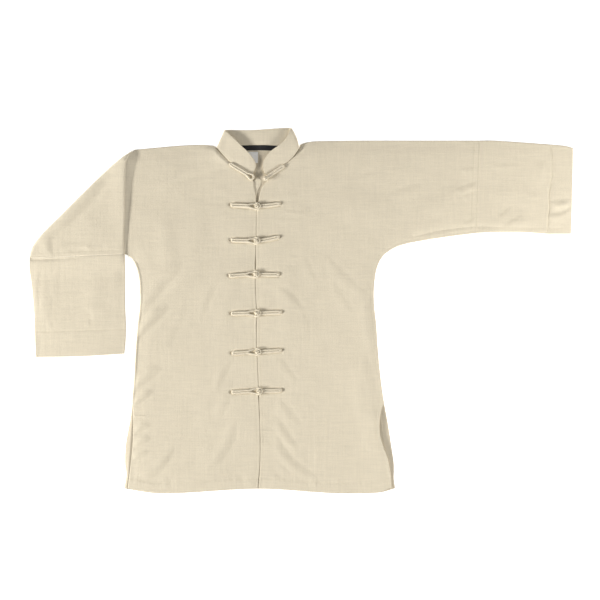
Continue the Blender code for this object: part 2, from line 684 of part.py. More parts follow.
def make_collar(material):
    """The band: a grid from its seam to its top edge, folded at both sides of the neck."""
    points = []
    for station in COLLAR:
        seam = np.array([station.seam_x, station.seam_y, station.seam_z])
        top = np.array([station.top_x, station.top_y, station.top_z])
        for i in range(COLLAR_COLUMNS):
            along = i / (COLLAR_COLUMNS - 1)
            bow = station.bow * 4.0 * along * (1.0 - along)
            points.append(seam + (top - seam) * along + np.array([bow, 0.0, 0.0]))
    faces = []
    for row in range(len(COLLAR) - 1):
        for i in range(COLLAR_COLUMNS - 1):
            first = row * COLLAR_COLUMNS + i
            faces.append((first, first + 1, first + COLLAR_COLUMNS + 1, first + COLLAR_COLUMNS))
    item = make_object("collar", points, faces, material, closed=False)
    add_wall(item, BAND_WALL, 0.0)


def make_underlap(material):
    """A long strip with a round top; its right side is straight below the last point of its table."""
    right = [(UNDERLAP[-1][0], UNDERLAP_END)]
    left = [(UNDERLAP[-1][0] - UNDERLAP_WIDTH, y) for y in (UNDERLAP_END, UNDERLAP_SHOULDER)]
    outline = join(curve(UNDERLAP, UNDERLAP_STEP), right, left, [UNDERLAP_CORNER])
    sheet("underlap", outline[::-1], level(EDGE_TOP), material)


def make_neck_trim(tape_material, label_material):
    seam = curve(collar_seam(10, 15, -TAPE_CLEAR), TAPE_STEP)
    seam = [point for point in seam if abs(point[0]) < TAPE_HALF_LENGTH]
    lower = shifted(seam, -TAPE_WIDTH)
    tape = join(seam[::-1], lower)
    sheet("neck_tape", tape, level(LAYER + TRIM_WALL), tape_material, wall=TRIM_WALL)
    top = min(point[1] for point in lower) - LABEL_CLEAR
    label = [(0, top), (-LABEL_WIDTH, top), (-LABEL_WIDTH, top - LABEL_LENGTH), (0, top - LABEL_LENGTH)]
    sheet("care_label", label, level(LAYER + TRIM_WALL), label_material, wall=TRIM_WALL)


def frames_along(path):
    """Sideways and upward directions at each point of a closed path that mostly runs level."""
    path = np.array(path, dtype=float)
    ahead = np.roll(path, -1, axis=0) - np.roll(path, 1, axis=0)
    ahead /= np.linalg.norm(ahead, axis=1)[:, None]
    side = np.cross(ahead, [0.0, 0.0, 1.0])
    side /= np.linalg.norm(side, axis=1)[:, None]
    return side, np.cross(side, ahead)


def cord_loop(name, path, material):
    """A closed ring of cord along a path."""
    side, up = frames_along(path)
    points = []
    for centre, across, over in zip(path, side, up):
        for k in range(CORD_SIDES):
            angle = 2 * math.pi * (k + 0.5) / CORD_SIDES
            points.append(centre + CORD_RADIUS * (math.cos(angle) * across + math.sin(angle) * over))
    faces = []
    for row in range(len(path)):
        here = row * CORD_SIDES
        after = (row + 1) % len(path) * CORD_SIDES
        for k in range(CORD_SIDES):
            j = (k + 1) % CORD_SIDES
            faces.append((here + k, here + j, after + j, after + k))
    make_object(name, points, faces, material)


def knot_half(name, outer, inner, ball, seat, material):
    """Two cords side by side that end in a knot: one body, with rings along its length."""
    outer, inner, ball = (np.array(point, dtype=float) for point in (outer, inner, ball))
    flat = CORD_RADIUS + seat
    run = inner - outer
    ahead = run / np.linalg.norm(run)
    across = np.array([ahead[1], -ahead[0], 0.0])
    profile = []
    for lobe, turns in PAIR_DEGREES:
        for degrees in turns:
            angle = math.radians(degrees)
            profile.append((lobe * CORD_PITCH + CORD_RADIUS * math.cos(angle), CORD_RADIUS * math.sin(angle)))
    rings = []
    for section in CORD_SECTIONS:
        centre = np.array([*(outer + run * section.along), flat])
        rings.append([centre + section.size * (x * across + np.array([0, 0, z])) for x, z in profile])
    start = np.array([*inner, flat])
    climb = ball - start
    climb /= np.linalg.norm(climb)
    over = np.cross(across, climb)
    over /= np.linalg.norm(over)
    angles = [math.atan2(z, x * 0.5) for x, z in profile]
    for degrees in BALL_DEGREES:
        angle = math.radians(degrees)
        centre = ball + climb * KNOT_RADIUS * math.cos(angle)
        radius = KNOT_RADIUS * math.sin(angle)
        rings.append([centre + radius * (math.cos(turn) * across + math.sin(turn) * over) for turn in angles])
    points = [point for ring in rings for point in ring]
    width = len(profile)
    faces = [tuple(range(width))[::-1]]
    for row in range(len(rings) - 1):
        for k in range(width):
            j = (k + 1) % width
            faces.append((row * width + k, row * width + j, (row + 1) * width + j, (row + 1) * width + k))
    faces.append(tuple((len(rings) - 1) * width + k for k in range(width)))
    make_object(name, points, [face[::-1] for face in faces], material)


def loop_path(outer, centre, radius, spread, height, arch):
    """The route of a loop half: along one cord, round the ring at its end, back, and round its outer end.

    spread is the length over which the cords part before the ring, and arch lifts the ring's far side.
    """
    outer, centre = np.array(outer, dtype=float), np.array(centre, dtype=float)
    length = float(np.linalg.norm(centre - outer))
    ahead = (centre - outer) / length
    across = np.array([-ahead[1], ahead[0]])
    half = [(along - length, CORD_PITCH, 0.0)
            for along in np.linspace(CORD_PITCH, length - radius - spread, 4)]
    half.append((-radius - 0.45 * spread, 0.5 * (CORD_PITCH + 0.8 * radius), 0.0))
    for degrees in RING_DEGREES:
        angle = math.radians(degrees)
        lift = arch * float(ease((100.0 - degrees) / 62.0))
        half.append((radius * math.cos(angle), radius * math.sin(angle), lift))
    far = [(radius, 0.0, arch)]
    back = [(along, -aside, lift) for along, aside, lift in half[::-1]]
    turn = [(-length + CORD_PITCH * (1.0 - math.sin(angle)), -CORD_PITCH * math.cos(angle), 0.0)
            for angle in map(math.radians, TURN_DEGREES)]
    path = []
    for along, aside, lift in half + far + back + turn:
        x, y = centre + ahead * along + across * aside
        path.append(np.array([x, y, height + lift]))
    return path


def make_frogs(material):
    for number, frog in enumerate(FROGS, start=2):
        footprint = [(x, frog.centre_y + dy) for x in range(-70, 61, 5) for dy in (-12, -6, 0, 6, 12)]
        footprint = np.array(footprint, dtype=float)
        seat = float(np.maximum(left_top(footprint), right_top(footprint)).max()) + SEAT_GAP
        middle = float(np.interp(-frog.centre_y, [-y for x, y in OPENING], [x for x, y in OPENING]))
        path = loop_path((frog.loop_x, frog.loop_y), (middle, frog.centre_y), RING_RADIUS, RING_SPREAD,
                         height=seat + CORD_RADIUS, arch=2 * CORD_RADIUS + SEAT_GAP)
        cord_loop(f"frog_{number}_loop", path, material)
        ball = (middle, frog.centre_y, seat + KNOT_LIFT)
        neck = (middle + NECK_REACH, frog.centre_y)
        knot_half(f"frog_{number}_knot", (frog.knot_x, frog.knot_y), neck, ball, seat, material)


def make_neck_frog(material):
    seat = INNER_TOP + 0.5 * BAND_WALL + SEAT_GAP
    path = loop_path(NECK_LOOP_OUTER, NECK_RING_CENTRE, NECK_RING_RADIUS, NECK_RING_SPREAD,
                     height=seat + CORD_RADIUS, arch=0.0)
    cord_loop("frog_1_loop", path, material)
    ball = (*NECK_KNOT_CENTRE, seat + KNOT_RADIUS)
    knot_half("frog_1_knot", NECK_KNOT_OUTER, NECK_KNOT_INNER, ball, seat, material)


def main():
    clear_scene()
    linen = cloth_material("linen", LINEN, 0.9)
    inside_linen = cloth_material("linen_inside", INSIDE, 0.9)
    cord = cloth_material("linen_cord", LINEN_CORD, 0.85)
    tape = cloth_material("tape", BLACK, 0.6)
    label = cloth_material("label", WHITE, 0.55)

    sheet("back", back_outline()[::-1], level(WALL), inside_linen)
    left_folds, right_folds = fold_points(FOLDS_LEFT), fold_points(FOLDS_RIGHT)
    sheet("front_left", front_left_outline()[::-1], left_top, linen, spacing=GRID, wanted=left_folds)
    sheet("front_right", front_right_outline(), right_top, linen, spacing=GRID, wanted=right_folds)
    make_tube("sleeve_left_lower", LOWER_LEFT_TOP, LOWER_LEFT_BOTTOM, FOLDS_LOWER_LEFT, LOWER_LEFT_START,
              INNER_TOP, linen)
    make_tube("sleeve_right_lower", LOWER_RIGHT_RIGHT, LOWER_RIGHT_LEFT, FOLDS_LOWER_RIGHT, SLEEVE_SEAM_RIGHT,
              TURNED_TOP - 0.8, linen)
    make_layers(inside_linen)
    make_turned(linen)
    make_underlap(linen)
    make_collar(linen)
    make_neck_trim(tape, label)
    make_neck_frog(cord)
    make_frogs(cord)


main()
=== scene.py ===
"""Looks of the kung fu jacket: linen shells with creases, seams and stitches, knotted cords, floor and light.

Lengths are millimetres in the tables and functions, and metres in the finished objects.
"""
import math
from collections import namedtuple

import bpy
import numpy as np
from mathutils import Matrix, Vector, kdtree, noise
from mathutils.geometry import delaunay_2d_cdt


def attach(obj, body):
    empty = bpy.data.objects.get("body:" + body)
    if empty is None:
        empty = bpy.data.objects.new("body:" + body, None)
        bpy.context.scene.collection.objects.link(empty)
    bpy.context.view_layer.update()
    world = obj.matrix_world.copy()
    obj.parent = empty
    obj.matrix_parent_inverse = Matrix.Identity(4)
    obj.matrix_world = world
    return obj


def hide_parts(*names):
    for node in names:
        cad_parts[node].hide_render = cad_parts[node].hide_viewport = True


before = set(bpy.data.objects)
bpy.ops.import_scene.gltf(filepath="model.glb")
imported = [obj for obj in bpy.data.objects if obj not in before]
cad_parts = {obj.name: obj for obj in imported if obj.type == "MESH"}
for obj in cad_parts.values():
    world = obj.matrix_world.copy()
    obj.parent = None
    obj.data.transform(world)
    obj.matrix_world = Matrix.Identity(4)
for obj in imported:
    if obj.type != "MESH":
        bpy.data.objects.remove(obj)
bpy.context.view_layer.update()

METRE = 0.001

# Cloth shells: wall, mesh spacing on top, on hidden sheets and along edges, and the gap beside a stitch line;
# least height above the surface, least depth, and room for points
WALL = 1.1
SPACING = 4.0
COARSE = 7.0
EDGE_STEP = 4.0
STITCH_GAP = 1.3
FLOOR_GAP = 0.02
LEAST_DEPTH = 0.3
MOST_POINTS = 200000

# Heights above the surface, as in the solids
EDGE_TOP = 2.7
INNER_TOP = 4.3
EDGE_RUN = 35.0
UNDERLAP_TOP = 2.5
TURNED_TOP = 8.6
TURNED_EDGE_DROP = 0.8
TURNED_EDGE_RUN = 4.0
TURNED_CREST_RUN = 34.0
DIAGONAL_EDGE_TOP = 2.2
DIAGONAL_EDGE_RUN = 6.0
TUBE_TOP = 3.5
TUBE_EDGE_RUN = 9.0
TUBE_RISE_RUN = 26.0
TUBE_SEAM_RUN = 60.0
TUBE_LEAST = 1.7
WRAP_FOOT = 0.25
WRAP_INSET = 1.7

# Outlines, each a smooth curve through its points: x, y
SHOULDER_LEFT = [(101, 271), (112, 275.5), (130, 279), (160, 280), (254, 281), (400, 281), (531, 281)]
SHOULDER_RIGHT = [(-108, 269), (-130, 271), (-187, 269), (-245, 264), (-300, 259)]
UNDERARM_LEFT = [(523, 60), (446, 50), (389, 41), (350, 33), (320, 21), (298, 3), (284, -27), (278, -72),
                 (278, -110), (283, -158), (288, -230), (294, -290), (300, -335)]
SIDE_RIGHT = [(-302, -2), (-294, -16), (-286, -43), (-283, -72), (-283, -115), (-288, -158), (-293, -216),
              (-297, -288), (-302, -346)]
HIDDEN_UNDERARM = [(-538, 8), (-430, 13), (-345, 16), (-322, 13), (-313, 7), (-302, -2)]
DIAGONAL_FOLD = [(-300, 259), (-331, 238), (-372, 202), (-418, 158), (-475, 101), (-518, 58), (-540, 29),
                 (-547, 12)]
BACK_VENT_LEFT = [(300, -335), (310, -389), (319, -446), (326, -495), (326, -530), (329, -553)]
FRONT_VENT_LEFT = [(300, -335), (302, -349), (295, -366), (291, -396), (293, -428), (303, -460), (312, -486),
                   (318, -521), (321, -552)]
BACK_VENT_RIGHT = [(-302, -346), (-305, -378), (-312, -418), (-317, -446), (-319, -490), (-316, -520),
                   (-321, -553)]
FRONT_VENT_RIGHT = [(-302, -346), (-299, -377), (-300, -425), (-302, -461), (-307, -509), (-312, -552)]
HEM_LEFT = [(316, -552), (290, -561), (200, -563), (125, -560), (60, -555), (2, -552)]
HEM_RIGHT = [(-312, -552), (-250, -562), (-187, -562), (-120, -558), (-60, -554), (1, -552)]
BACK_HEM = [(329, -553), (290, -563), (200, -565), (125, -561), (60, -556), (0, -554), (-60, -556),
            (-120, -560), (-187, -564), (-250, -564), (-321, -553)]
OPENING = [(-3, 116), (-4, 65), (-5.6, 0), (-6, -30), (-5.5, -84), (-3, -130), (-3.4, -200), (0, -269),
           (1.5, -317), (5, -413), (5, -485), (1.5, -552)]
OPENING_TOP_LEFT = [(21, 184), (10, 169), (6, 158), (3, 144), (0, 130)]
OPENING_TOP_RIGHT = [(-11, 183), (-9, 166), (-6, 151), (-4.6, 132)]
UNDERLAP = [(-10, 186), (-2, 192), (5, 190), (8.5, 184), (5, 172), (-2, 158), (-8, 140)]
UNDERLAP_LEFT = [(-30, 170), (-34, 140), (-34, -478)]
SLEEVE_SEAM_RIGHT = [(-547, 0), (-320.5, 9)]
TURNED_RIGHT_EDGE = [(-300, 258), (-309, 248), (-316, 230), (-319, 178), (-320, 103), (-322, 43), (-321, 9)]
STRIP_FOOT = [(-290, 262), (-291, 235), (-303, 175), (-310, 103), (-314, 43), (-319, 6)]
LOWER_LEFT_START = [(531.6, 281), (523.4, 60)]
LOWER_LEFT_TOP = [(531.6, 281), (565, 281), (618, 278), (684, 273), (734, 269), (756, 264)]
LOWER_LEFT_BOTTOM = [(523.4, 60), (562, 62), (638, 62), (696, 58), (734, 58), (751, 58)]
LOWER_RIGHT_LEFT = [(-547, -1), (-547, -29), (-542, -72), (-537, -130), (-535, -190), (-533, -238)]
LOWER_RIGHT_RIGHT = [(-320.5, 8), (-319, -43), (-319, -115), (-317, -163), (-318, -200), (-321, -230)]
CUFF_LINE_LEFT = [(699, 274), (703, 258), (706, 240), (706, 212), (701, 173), (698, 153), (699, 122),
                  (697, 105), (694, 60)]

# Soft folds: start, middle and end, half the width, and the height (a trough is negative)
Fold = namedtuple("Fold", "x0 y0 xm ym x1 y1 width height")
FOLDS_LEFT = [Fold(*row) for row in [
    (250, -60, 262, -160, 268, -250, 22, 1.6), (238, -220, 246, -310, 256, -420, 20, 2.0),
    (420, 90, 450, 140, 500, 170, 22, 2.0), (150, 150, 240, 120, 330, 130, 34, 1.6),
    (60, 10, 74, -120, 70, -230, 26, 1.2),
]]
FOLDS_RIGHT = [Fold(*row) for row in [
    (-134, -300, -126, -420, -124, -540, 18, 0.5), (-230, 120, -220, 40, -226, -30, 26, 1.6),
    (-120, 150, -150, 60, -160, -60, 30, 1.3), (-70, 10, -80, -120, -74, -230, 26, 1.1),
]]
FOLDS_TURNED = [Fold(-450, 40, -410, 60, -380, 100, 30, 0.6)]
FOLDS_LOWER_RIGHT = [Fold(*row) for row in [
    (-535, -18, -500, -10, -430, -4, 9, 1.4), (-520, -30, -514, -90, -510, -170, 16, 0.7),
    (-380, -30, -392, -110, -380, -200, 24, 0.6),
]]
FOLDS_LOWER_LEFT = [Fold(*row) for row in [
    (560, 170, 600, 150, 660, 160, 24, 1.6), (560, 100, 600, 84, 660, 92, 22, 1.8),
    (714, 118, 730, 126, 750, 128, 8, 1.6),
]]

# Creases: the dark line of each, and to its left the ridge that it is the foot of (a minus is to the right)
Crease = namedtuple("Crease", "x0 y0 xm ym x1 y1 width height")
CREASES_LEFT = [Crease(*row) for row in [
    (57, -240, 74, -268, 96, -294, 11, -2.4), (50, -334, 74, -366, 104, -400, 12, -2.8),
    (48, -386, 72, -423, 98, -458, 11, -3.6), (48, -424, 80, -482, 144, -524, 13, -4.8),
    (50, -492, 62, -502, 76, -510, 8, -1.8), (38, -516, 50, -524, 66, -532, 7, -1.6),
    (46, -66, 90, -98, 113, -134, 12, -2.6), (112, -130, 119, -160, 121, -194, 10, -1.4),
    (166, 10, 205, -38, 264, -88, 13, -2.6), (180, -56, 208, -98, 226, -134, 11, -1.6),
    (113, 6, 128, -28, 146, -60, 11, -1.5), (268, -80, 268, -160, 274, -218, 9, -2.6),
    (258, -230, 273, -290, 287, -344, 11, -2.8), (278, -330, 283, -375, 286, -424, 9, -2.0),
    (262, -442, 278, -446, 296, -440, 9, -2.0), (56, 140, 84, 141, 104, 154, 8, 1.6),
    (60, 116, 90, 112, 122, 110, 7, -1.4), (36, 94, 76, 95, 114, 96, 7, -1.3),
    (232, 192, 256, 200, 290, 211, 9, -1.5), (312, 150, 345, 163, 404, 180, 12, -2.0),
    (470, 165, 498, 172, 526, 183, 9, -4.0), (490, 148, 508, 153, 524, 162, 8, -2.6),
    (484, 214, 508, 217, 530, 218, 8, -2.4), (490, 84, 507, 89, 522, 96, 8, -3.4),
    (372, 52, 437, 65, 514, 77, 10, -2.8), (300, 20, 282, 36, 262, 56, 14, 1.0),
]]
CREASES_RIGHT = [Crease(*row) for row in [
    (-112, 6, -212, -68, -280, -146, 14, 3.4), (-176, -14, -236, -82, -296, -164, 15, -4.6),
    (-212, -120, -258, -162, -306, -212, 13, -8.6), (-170, -120, -194, -170, -220, -214, 13, -1.6),
    (-230, -270, -264, -292, -306, -332, 12, -7.0), (-250, -324, -276, -340, -312, -366, 9, -7.0),
    (-300, -426, -281, -413, -258, -404, 9, 5.6), (-301, -459, -281, -447, -256, -435, 9, 6.0),
    (-304, -490, -284, -478, -260, -468, 9, 5.0), (-296, -519, -244, -516, -198, -450, 12, 4.2),
    (-86, -40, -108, -76, -138, -158, 11, -2.4), (-59, -242, -79, -278, -99, -322, 11, -3.2),
    (-68, -330, -80, -362, -97, -394, 11, -2.6), (-53, -392, -73, -462, -124, -511, 13, -3.8),
    (-66, -516, -54, -509, -40, -508, 8, 1.8), (-240, 146, -168, 194, -60, 218, 12, 2.0),
    (-58, 140, -84, 150, -110, 150, 9, -1.2), (-70, 132, -100, 128, -130, 134, 8, 1.0),
    (-62, 36, -92, 28, -126, 34, 9, -1.2),
]]
CREASES_TURNED = [Crease(*row) for row in [
    (-362, 182, -420, 118, -492, 48, 15, -8.4), (-466, 80, -496, 46, -488, 4, 12, -3.8),
    (-486, 14, -440, 22, -392, 18, 7, 1.8), (-408, 20, -404, 26, -396, 34, 6, 1.6),
    (-360, 18, -356, 26, -350, 40, 7, 1.2),
]]
CREASES_LOWER_RIGHT = [Crease(*row) for row in [
    (-514, -14, -526, -60, -528, -166, 9, -2.4), (-482, -24, -479, -60, -482, -106, 9, -1.0),
    (-416, -118, -384, -113, -344, -115, 11, -1.8), (-404, -146, -402, -160, -405, -172, 6, -1.6),
    (-494, -150, -493, -162, -494, -172, 6, -1.6),
]]
CREASES_LOWER_LEFT = [Crease(*row) for row in [
    (556, 223, 598, 225, 636, 225, 8, -2.0), (574, 96, 588, 108, 606, 126, 8, -3.0),
    (586, 74, 604, 86, 634, 104, 8, -4.0), (694, 234, 691, 204, 676, 168, 12, -3.6),
    (612, 74, 624, 84, 640, 96, 7, -2.0), (694, 104, 722, 107, 752, 121, 8, -5.0),
    (694, 134, 722, 136, 752, 140, 8, -3.6), (640, 156, 660, 155, 686, 156, 7, -1.2),
    (556, 76, 640, 74, 744, 74, 9, -2.0),
]]
CREASES_BACK = [Crease(*row) for row in [
    (-220, 190, -120, 120, -60, -20, 20, 2.8), (210, 200, 130, 110, 70, -30, 20, 2.8),
    (-230, -90, -160, -170, -140, -300, 17, 2.6), (240, -60, 170, -160, 150, -290, 17, 2.8),
    (-90, -330, -60, -420, -80, -500, 15, 2.4), (100, -300, 60, -400, 90, -490, 15, 2.4),
    (330, 90, 400, 160, 480, 190, 18, 2.8), (-330, 90, -380, 120, -430, 110, 16, 2.4),
    (-250, -380, -200, -430, -190, -500, 13, 2.0), (246, -350, 214, -420, 210, -490, 13, 2.2),
]]

# How high creases stand, as a share of their rows' heights
CREASE_SHARE = 0.33

# Lines of stitches and grooves: the line, how much the cloth puckers along it, how far from it, whether
# threads show, the groove's depth and width, and over what length at its end it fades out
Row = namedtuple("Row", "line pucker reach threads groove spread fade", defaults=(True, 0.34, 0.9, 1.0))

# Stand collar: seam line and top line of the band with their heights, and how far it bows outwards between
Station = namedtuple("Station", "seam_x seam_y seam_z top_x top_y top_z bow", defaults=(0.0,))
COLLAR = [Station(*row) for row in [
    (-16.5, 199.6, 4.4, -10.6, 205.2, 4.6), (-20.4, 201.1, 4.4, -5.6, 217.2, 5.4),
    (-26.4, 205.0, 4.4, -6.2, 229.2, 6.4), (-36.0, 211.2, 4.6, -12.2, 238.8, 7.6),
    (-50.4, 221.8, 4.9, -23.5, 253.2, 9.4), (-67.7, 231.6, 5.4, -39.0, 267.5, 11.0),
    (-84.5, 248.6, 6.4, -58.8, 287.0, 11.5), (-94.0, 260.0, 7.2, -73.0, 299.5, 9.4),
    (-97.5, 265.0, 5.8, -79.5, 305.6, 6.8), (-97.8, 266.0, 2.8, -80.0, 306.2, 3.0),
    (-93.5, 267.0, 1.25, -76.0, 306.8, 1.25), (-60.0, 269.6, 1.25, -48.0, 306.4, 1.25),
    (-20.0, 271.3, 1.25, -16.0, 306.4, 1.25), (20.0, 271.4, 1.25, 16.0, 308.4, 1.25),
    (60.0, 268.8, 1.25, 48.0, 310.8, 1.25), (93.0, 263.5, 1.25, 75.0, 311.8, 1.25),
    (97.6, 262.4, 4.0, 79.4, 311.4, 4.0, 3.5), (97.4, 261.4, 7.5, 79.0, 310.4, 8.6, 3.5),
    (94.5, 256.5, 8.5, 75.0, 301.0, 10.6, 2.5), (85.2, 244.1, 6.4, 68.4, 287.3, 11.5),
    (69.6, 229.6, 5.4, 53.6, 271.4, 11.0), (53.3, 221.3, 4.9, 34.5, 258.5, 9.4),
    (37.2, 211.7, 4.6, 20.8, 243.6, 7.6), (28.0, 204.8, 4.4, 14.4, 232.0, 6.4),
    (23.4, 201.2, 4.4, 11.8, 217.5, 5.4), (20.2, 198.6, 4.4, 14.6, 206.5, 4.6),
]]
BAND_WALL = 2.2

# Cord fastenings below the collar: height on the opening line, and the outer ends of both halves
Frog = namedtuple("Frog", "centre_y loop_x loop_y knot_x knot_y")
FROGS = [Frog(*row) for row in [
    (124, -63, 127, 51, 130), (41, -62, 43, 49, 50), (-39, -67, -42, 49, -40),
    (-132, -62, -133, 54, -130), (-225, -60, -228, 54, -221), (-319, -61, -321, 55, -317),
]]

# Cords: radius, half the distance between a half's two cords, how far they sink into the cloth, sides, and
# the groove beside them; a loop's ring and how it spreads and lifts; a knot; the open fastening at the neck
CORD_RADIUS = 2.45
CORD_PITCH = 2.45
CORD_SINK = 0.8
CORD_SIDES = 12
FROG_GROOVE = 5.7
RING_RADIUS = 7.4
RING_SPREAD = 13.0
RING_LIFT = 2.6
KNOT_CENTRE_LIFT = 4.0
KNOT_CORD = 1.7
KNOT_SPHERE = 3.7
KNOT_WEAVE = 0.75
NECK_REACH = 6.0
NECK_SEAT = 5.6
NECK_LOOP_OUTER = (-66.0, 225.5)
NECK_RING_CENTRE = (-16.5, 194.5)
NECK_RING_RADIUS = 6.2
NECK_RING_SPREAD = 6.0
NECK_KNOT_OUTER = (61.5, 221.0)
NECK_KNOT_INNER = (27.5, 196.5)
NECK_KNOT_CENTRE = (19.0, 189.5)

# Neck tape and care label: sizes, heights, walls, the tape's stitches, and the label's low and high x and y
TAPE_WIDTH = 12.0
TAPE_HALF_LENGTH = 62.0
TAPE_CLEAR = 1.3
TRIM_TOP = 2.4
TRIM_WALL = 0.8
TAPE_STITCH = 1.6
LABEL_WALL = 0.45
LABEL_BOX = (-26.0, 0.0, 227.6, 254.6)

# Hem: its depth, and how much its second layer lifts the cloth over what width
HEM_DEPTH = 22.0
HEM_STEP = 0.9
HEM_STEP_RUN = 2.5

# A line pressed into the left front, how far the cloth steps up at it and at the cuff's hem, and over what
# distance it comes down again
PRESS_LINE = [(134, -345), (135, -440), (136, -556)]
PRESS_STEP = 0.25
CUFF_STEP = 1.0
STEP_FAR = 24.0

# Beside the collar the cloth rises from the seam: height, width of the slope near the shoulder, and reach
Rise = namedtuple("Rise", "height near widening far")
COLLAR_RISE_RIGHT = Rise(4.2, 5.0, 4.0, 26.0)
COLLAR_RISE_LEFT = Rise(1.2, 6.0, 8.0, 30.0)

# How far the front lifts off the back at the left vent and over what width; how far the back bows up beside
# the right one, as a share of what shows there; and how far it lifts off the surface underneath
VENT_CURL = 4.4
VENT_CURL_RUN = 30.0
VENT_TOP = -345.0
BACK_BOW = 0.17
BACK_MOST_LIFT = 1.3

# The strip beside the turned-over sleeve, where the right front rises to the fold: heights above the front
StripHeight = namedtuple("StripHeight", "y height")
STRIP_HEIGHTS = [StripHeight(*row) for row in [(10, 1.8), (43, 3.0), (103, 4.0), (175, 6.2), (235, 9.6),
                                               (258, 3.6)]]

# Stitches: length, pitch and thickness, and the rings of a thread: place along it, size, and height above
# the cloth
STITCH_LENGTH = 2.4
STITCH_PITCH = 3.3
STITCH_RADIUS = 0.24
THREAD = [(-0.5, 0.25, -0.16), (-0.32, 0.9, 0.10), (0.0, 1.0, 0.22), (0.32, 0.9, 0.10), (0.5, 0.25, -0.16)]
THREAD_SIDES = 4

# Colours
LINEN = (0.783, 0.704, 0.548)
# The back's linen is the same cloth made darker: painted shade for where the back shows, inside the neck
# opening and at the vents
LINEN_PAINTED_SHADE = (0.735, 0.652, 0.500)
CORD_COLOUR = (0.780, 0.704, 0.552)
TAPE_COLOUR = (0.013, 0.012, 0.013)
LABEL_COLOUR = (0.95, 0.945, 0.925)
TAPE_THREAD_COLOUR = (0.03, 0.03, 0.03)
LABEL_THREAD_COLOUR = (0.55, 0.54, 0.52)
THREAD_COLOUR = (0.830, 0.760, 0.600)

# Stage, in metres and watts: the floor, the lights (name, place, aim, size and power), and the camera
FLOOR_REACH = 4.0
FLOOR_GLOW = 0.66
SKY_LIGHT = 0.25
LIGHT_COLOUR = (1.0, 0.985, 0.96)
LIGHTS = [("light_left", (-3.3, -1.0, 1.2), (0.0, -0.10, 0.0), (1.5, 0.45), 185.0),
          ("light_right", (1.95, -0.4, 0.75), (0.4, -0.10, 0.0), (0.9, 0.5), 31.5)]
CAMERA_PLACE = (0.1008, -0.1008, 3.4)


def ease(value):
    """0 below 0, 1 above 1, and smooth between."""
    held = np.clip(value, 0.0, 1.0)
    return held * held * (3.0 - 2.0 * held)


def round_over(value):
    """A quarter round: 0 at the edge, 1 from a run inwards."""
    held = np.clip(value, 0.0, 1.0)
    return np.sqrt(1.0 - (1.0 - held) ** 2)


def through(table, gap, step, least):
    """Rows of a smooth curve through a table's rows, about a step apart; gap measures a change of row."""
    padded = np.vstack([2 * table[0] - table[1], table, 2 * table[-1] - table[-2]])
    result = [table[0]]
    for p0, p1, p2, p3 in zip(padded, padded[1:], padded[2:], padded[3:]):
        reach = gap(p2 - p1)
        start_slope = (p2 - p0) / (gap(p1 - p0) + reach)
        end_slope = (p3 - p1) / (reach + gap(p3 - p2))
        count = max(least, round(reach / step))
        for j in range(1, count + 1):
            t = j / count
            result.append((2 * t**3 - 3 * t**2 + 1) * p1 + (t**3 - 2 * t**2 + t) * reach * start_slope
                          + (3 * t**2 - 2 * t**3) * p2 + (t**3 - t**2) * reach * end_slope)
    return result


def curve(points, step=EDGE_STEP):
    """A smooth curve through the points, as points about a step apart."""
    table = np.array(points, dtype=float)
    if len(table) == 2:
        count = max(1, round(float(np.linalg.norm(table[1] - table[0])) / step))
        return [table[0] + (table[1] - table[0]) * i / count for i in range(count + 1)]
    return through(table, np.linalg.norm, step, 1)


def resample(line, step):
    """The same line with points evenly a step apart."""
    line = np.array(line, dtype=float)
    travelled = np.concatenate([[0.0], np.cumsum(np.linalg.norm(np.diff(line, axis=0), axis=1))])
    count = max(1, round(travelled[-1] / step))
    places = np.linspace(0.0, travelled[-1], count + 1)
    return np.column_stack([np.interp(places, travelled, line[:, k]) for k in range(line.shape[1])])


def unit(rows):
    """Each row as a direction of length 1."""
    return rows / np.linalg.norm(rows, axis=1)[:, None]


def left_of(rows):
    """Each row, a direction in plan, turned a quarter to the left."""
    return np.stack([-rows[:, 1], rows[:, 0]], axis=1)


def inward(corners):
    """The direction inwards at each corner of an outline that runs anticlockwise."""
    return unit(left_of(np.roll(corners, -1, axis=0) - np.roll(corners, 1, axis=0)))


def shifted(points, distance):
    """The line moved sideways, to the left of its direction."""
    line = np.array(points, dtype=float)
    return line + unit(left_of(np.gradient(line, axis=0))) * distance


def join(*lines):
    """One outline from several lines, without a point repeated where two of them meet."""
    result = []
    for line in lines:
        for point in line:
            point = np.array(point, dtype=float)
            if not result or np.linalg.norm(point - result[-1]) > 0.3:
                result.append(point)
    if np.linalg.norm(result[0] - result[-1]) <= 0.3:
        result.pop()
    return result


def nearest(xy, line):
    """Distance from each point to a line, the share of the line passed there, and the side (1 is left)."""
    xy = np.atleast_2d(np.array(xy, dtype=float))
    line = np.array(line, dtype=float)
    start, span = line[:-1], line[1:] - line[:-1]
    length = np.maximum(np.linalg.norm(span, axis=1), 1e-9)
    travelled = np.concatenate([[0.0], np.cumsum(length)[:-1]])
    away, along, side = [], [], []
    for first in range(0, len(xy), 2000):
        part = xy[first:first + 2000]
        t = np.einsum("psk,sk->ps", part[:, None, :] - start[None], span) / length**2
        t = np.clip(t, 0.0, 1.0)
        offset = part[:, None, :] - (start[None] + t[..., None] * span[None])
        gap = np.linalg.norm(offset, axis=2)
        best = gap.argmin(axis=1)
        rows = np.arange(len(part))
        away.append(gap[rows, best])
        along.append((travelled[best] + t[rows, best] * length[best]) / length.sum())
        near = offset[rows, best]
        side.append(np.sign(span[best, 0] * near[:, 1] - span[best, 1] * near[:, 0]))
    return np.concatenate(away), np.concatenate(along), np.concatenate(side)


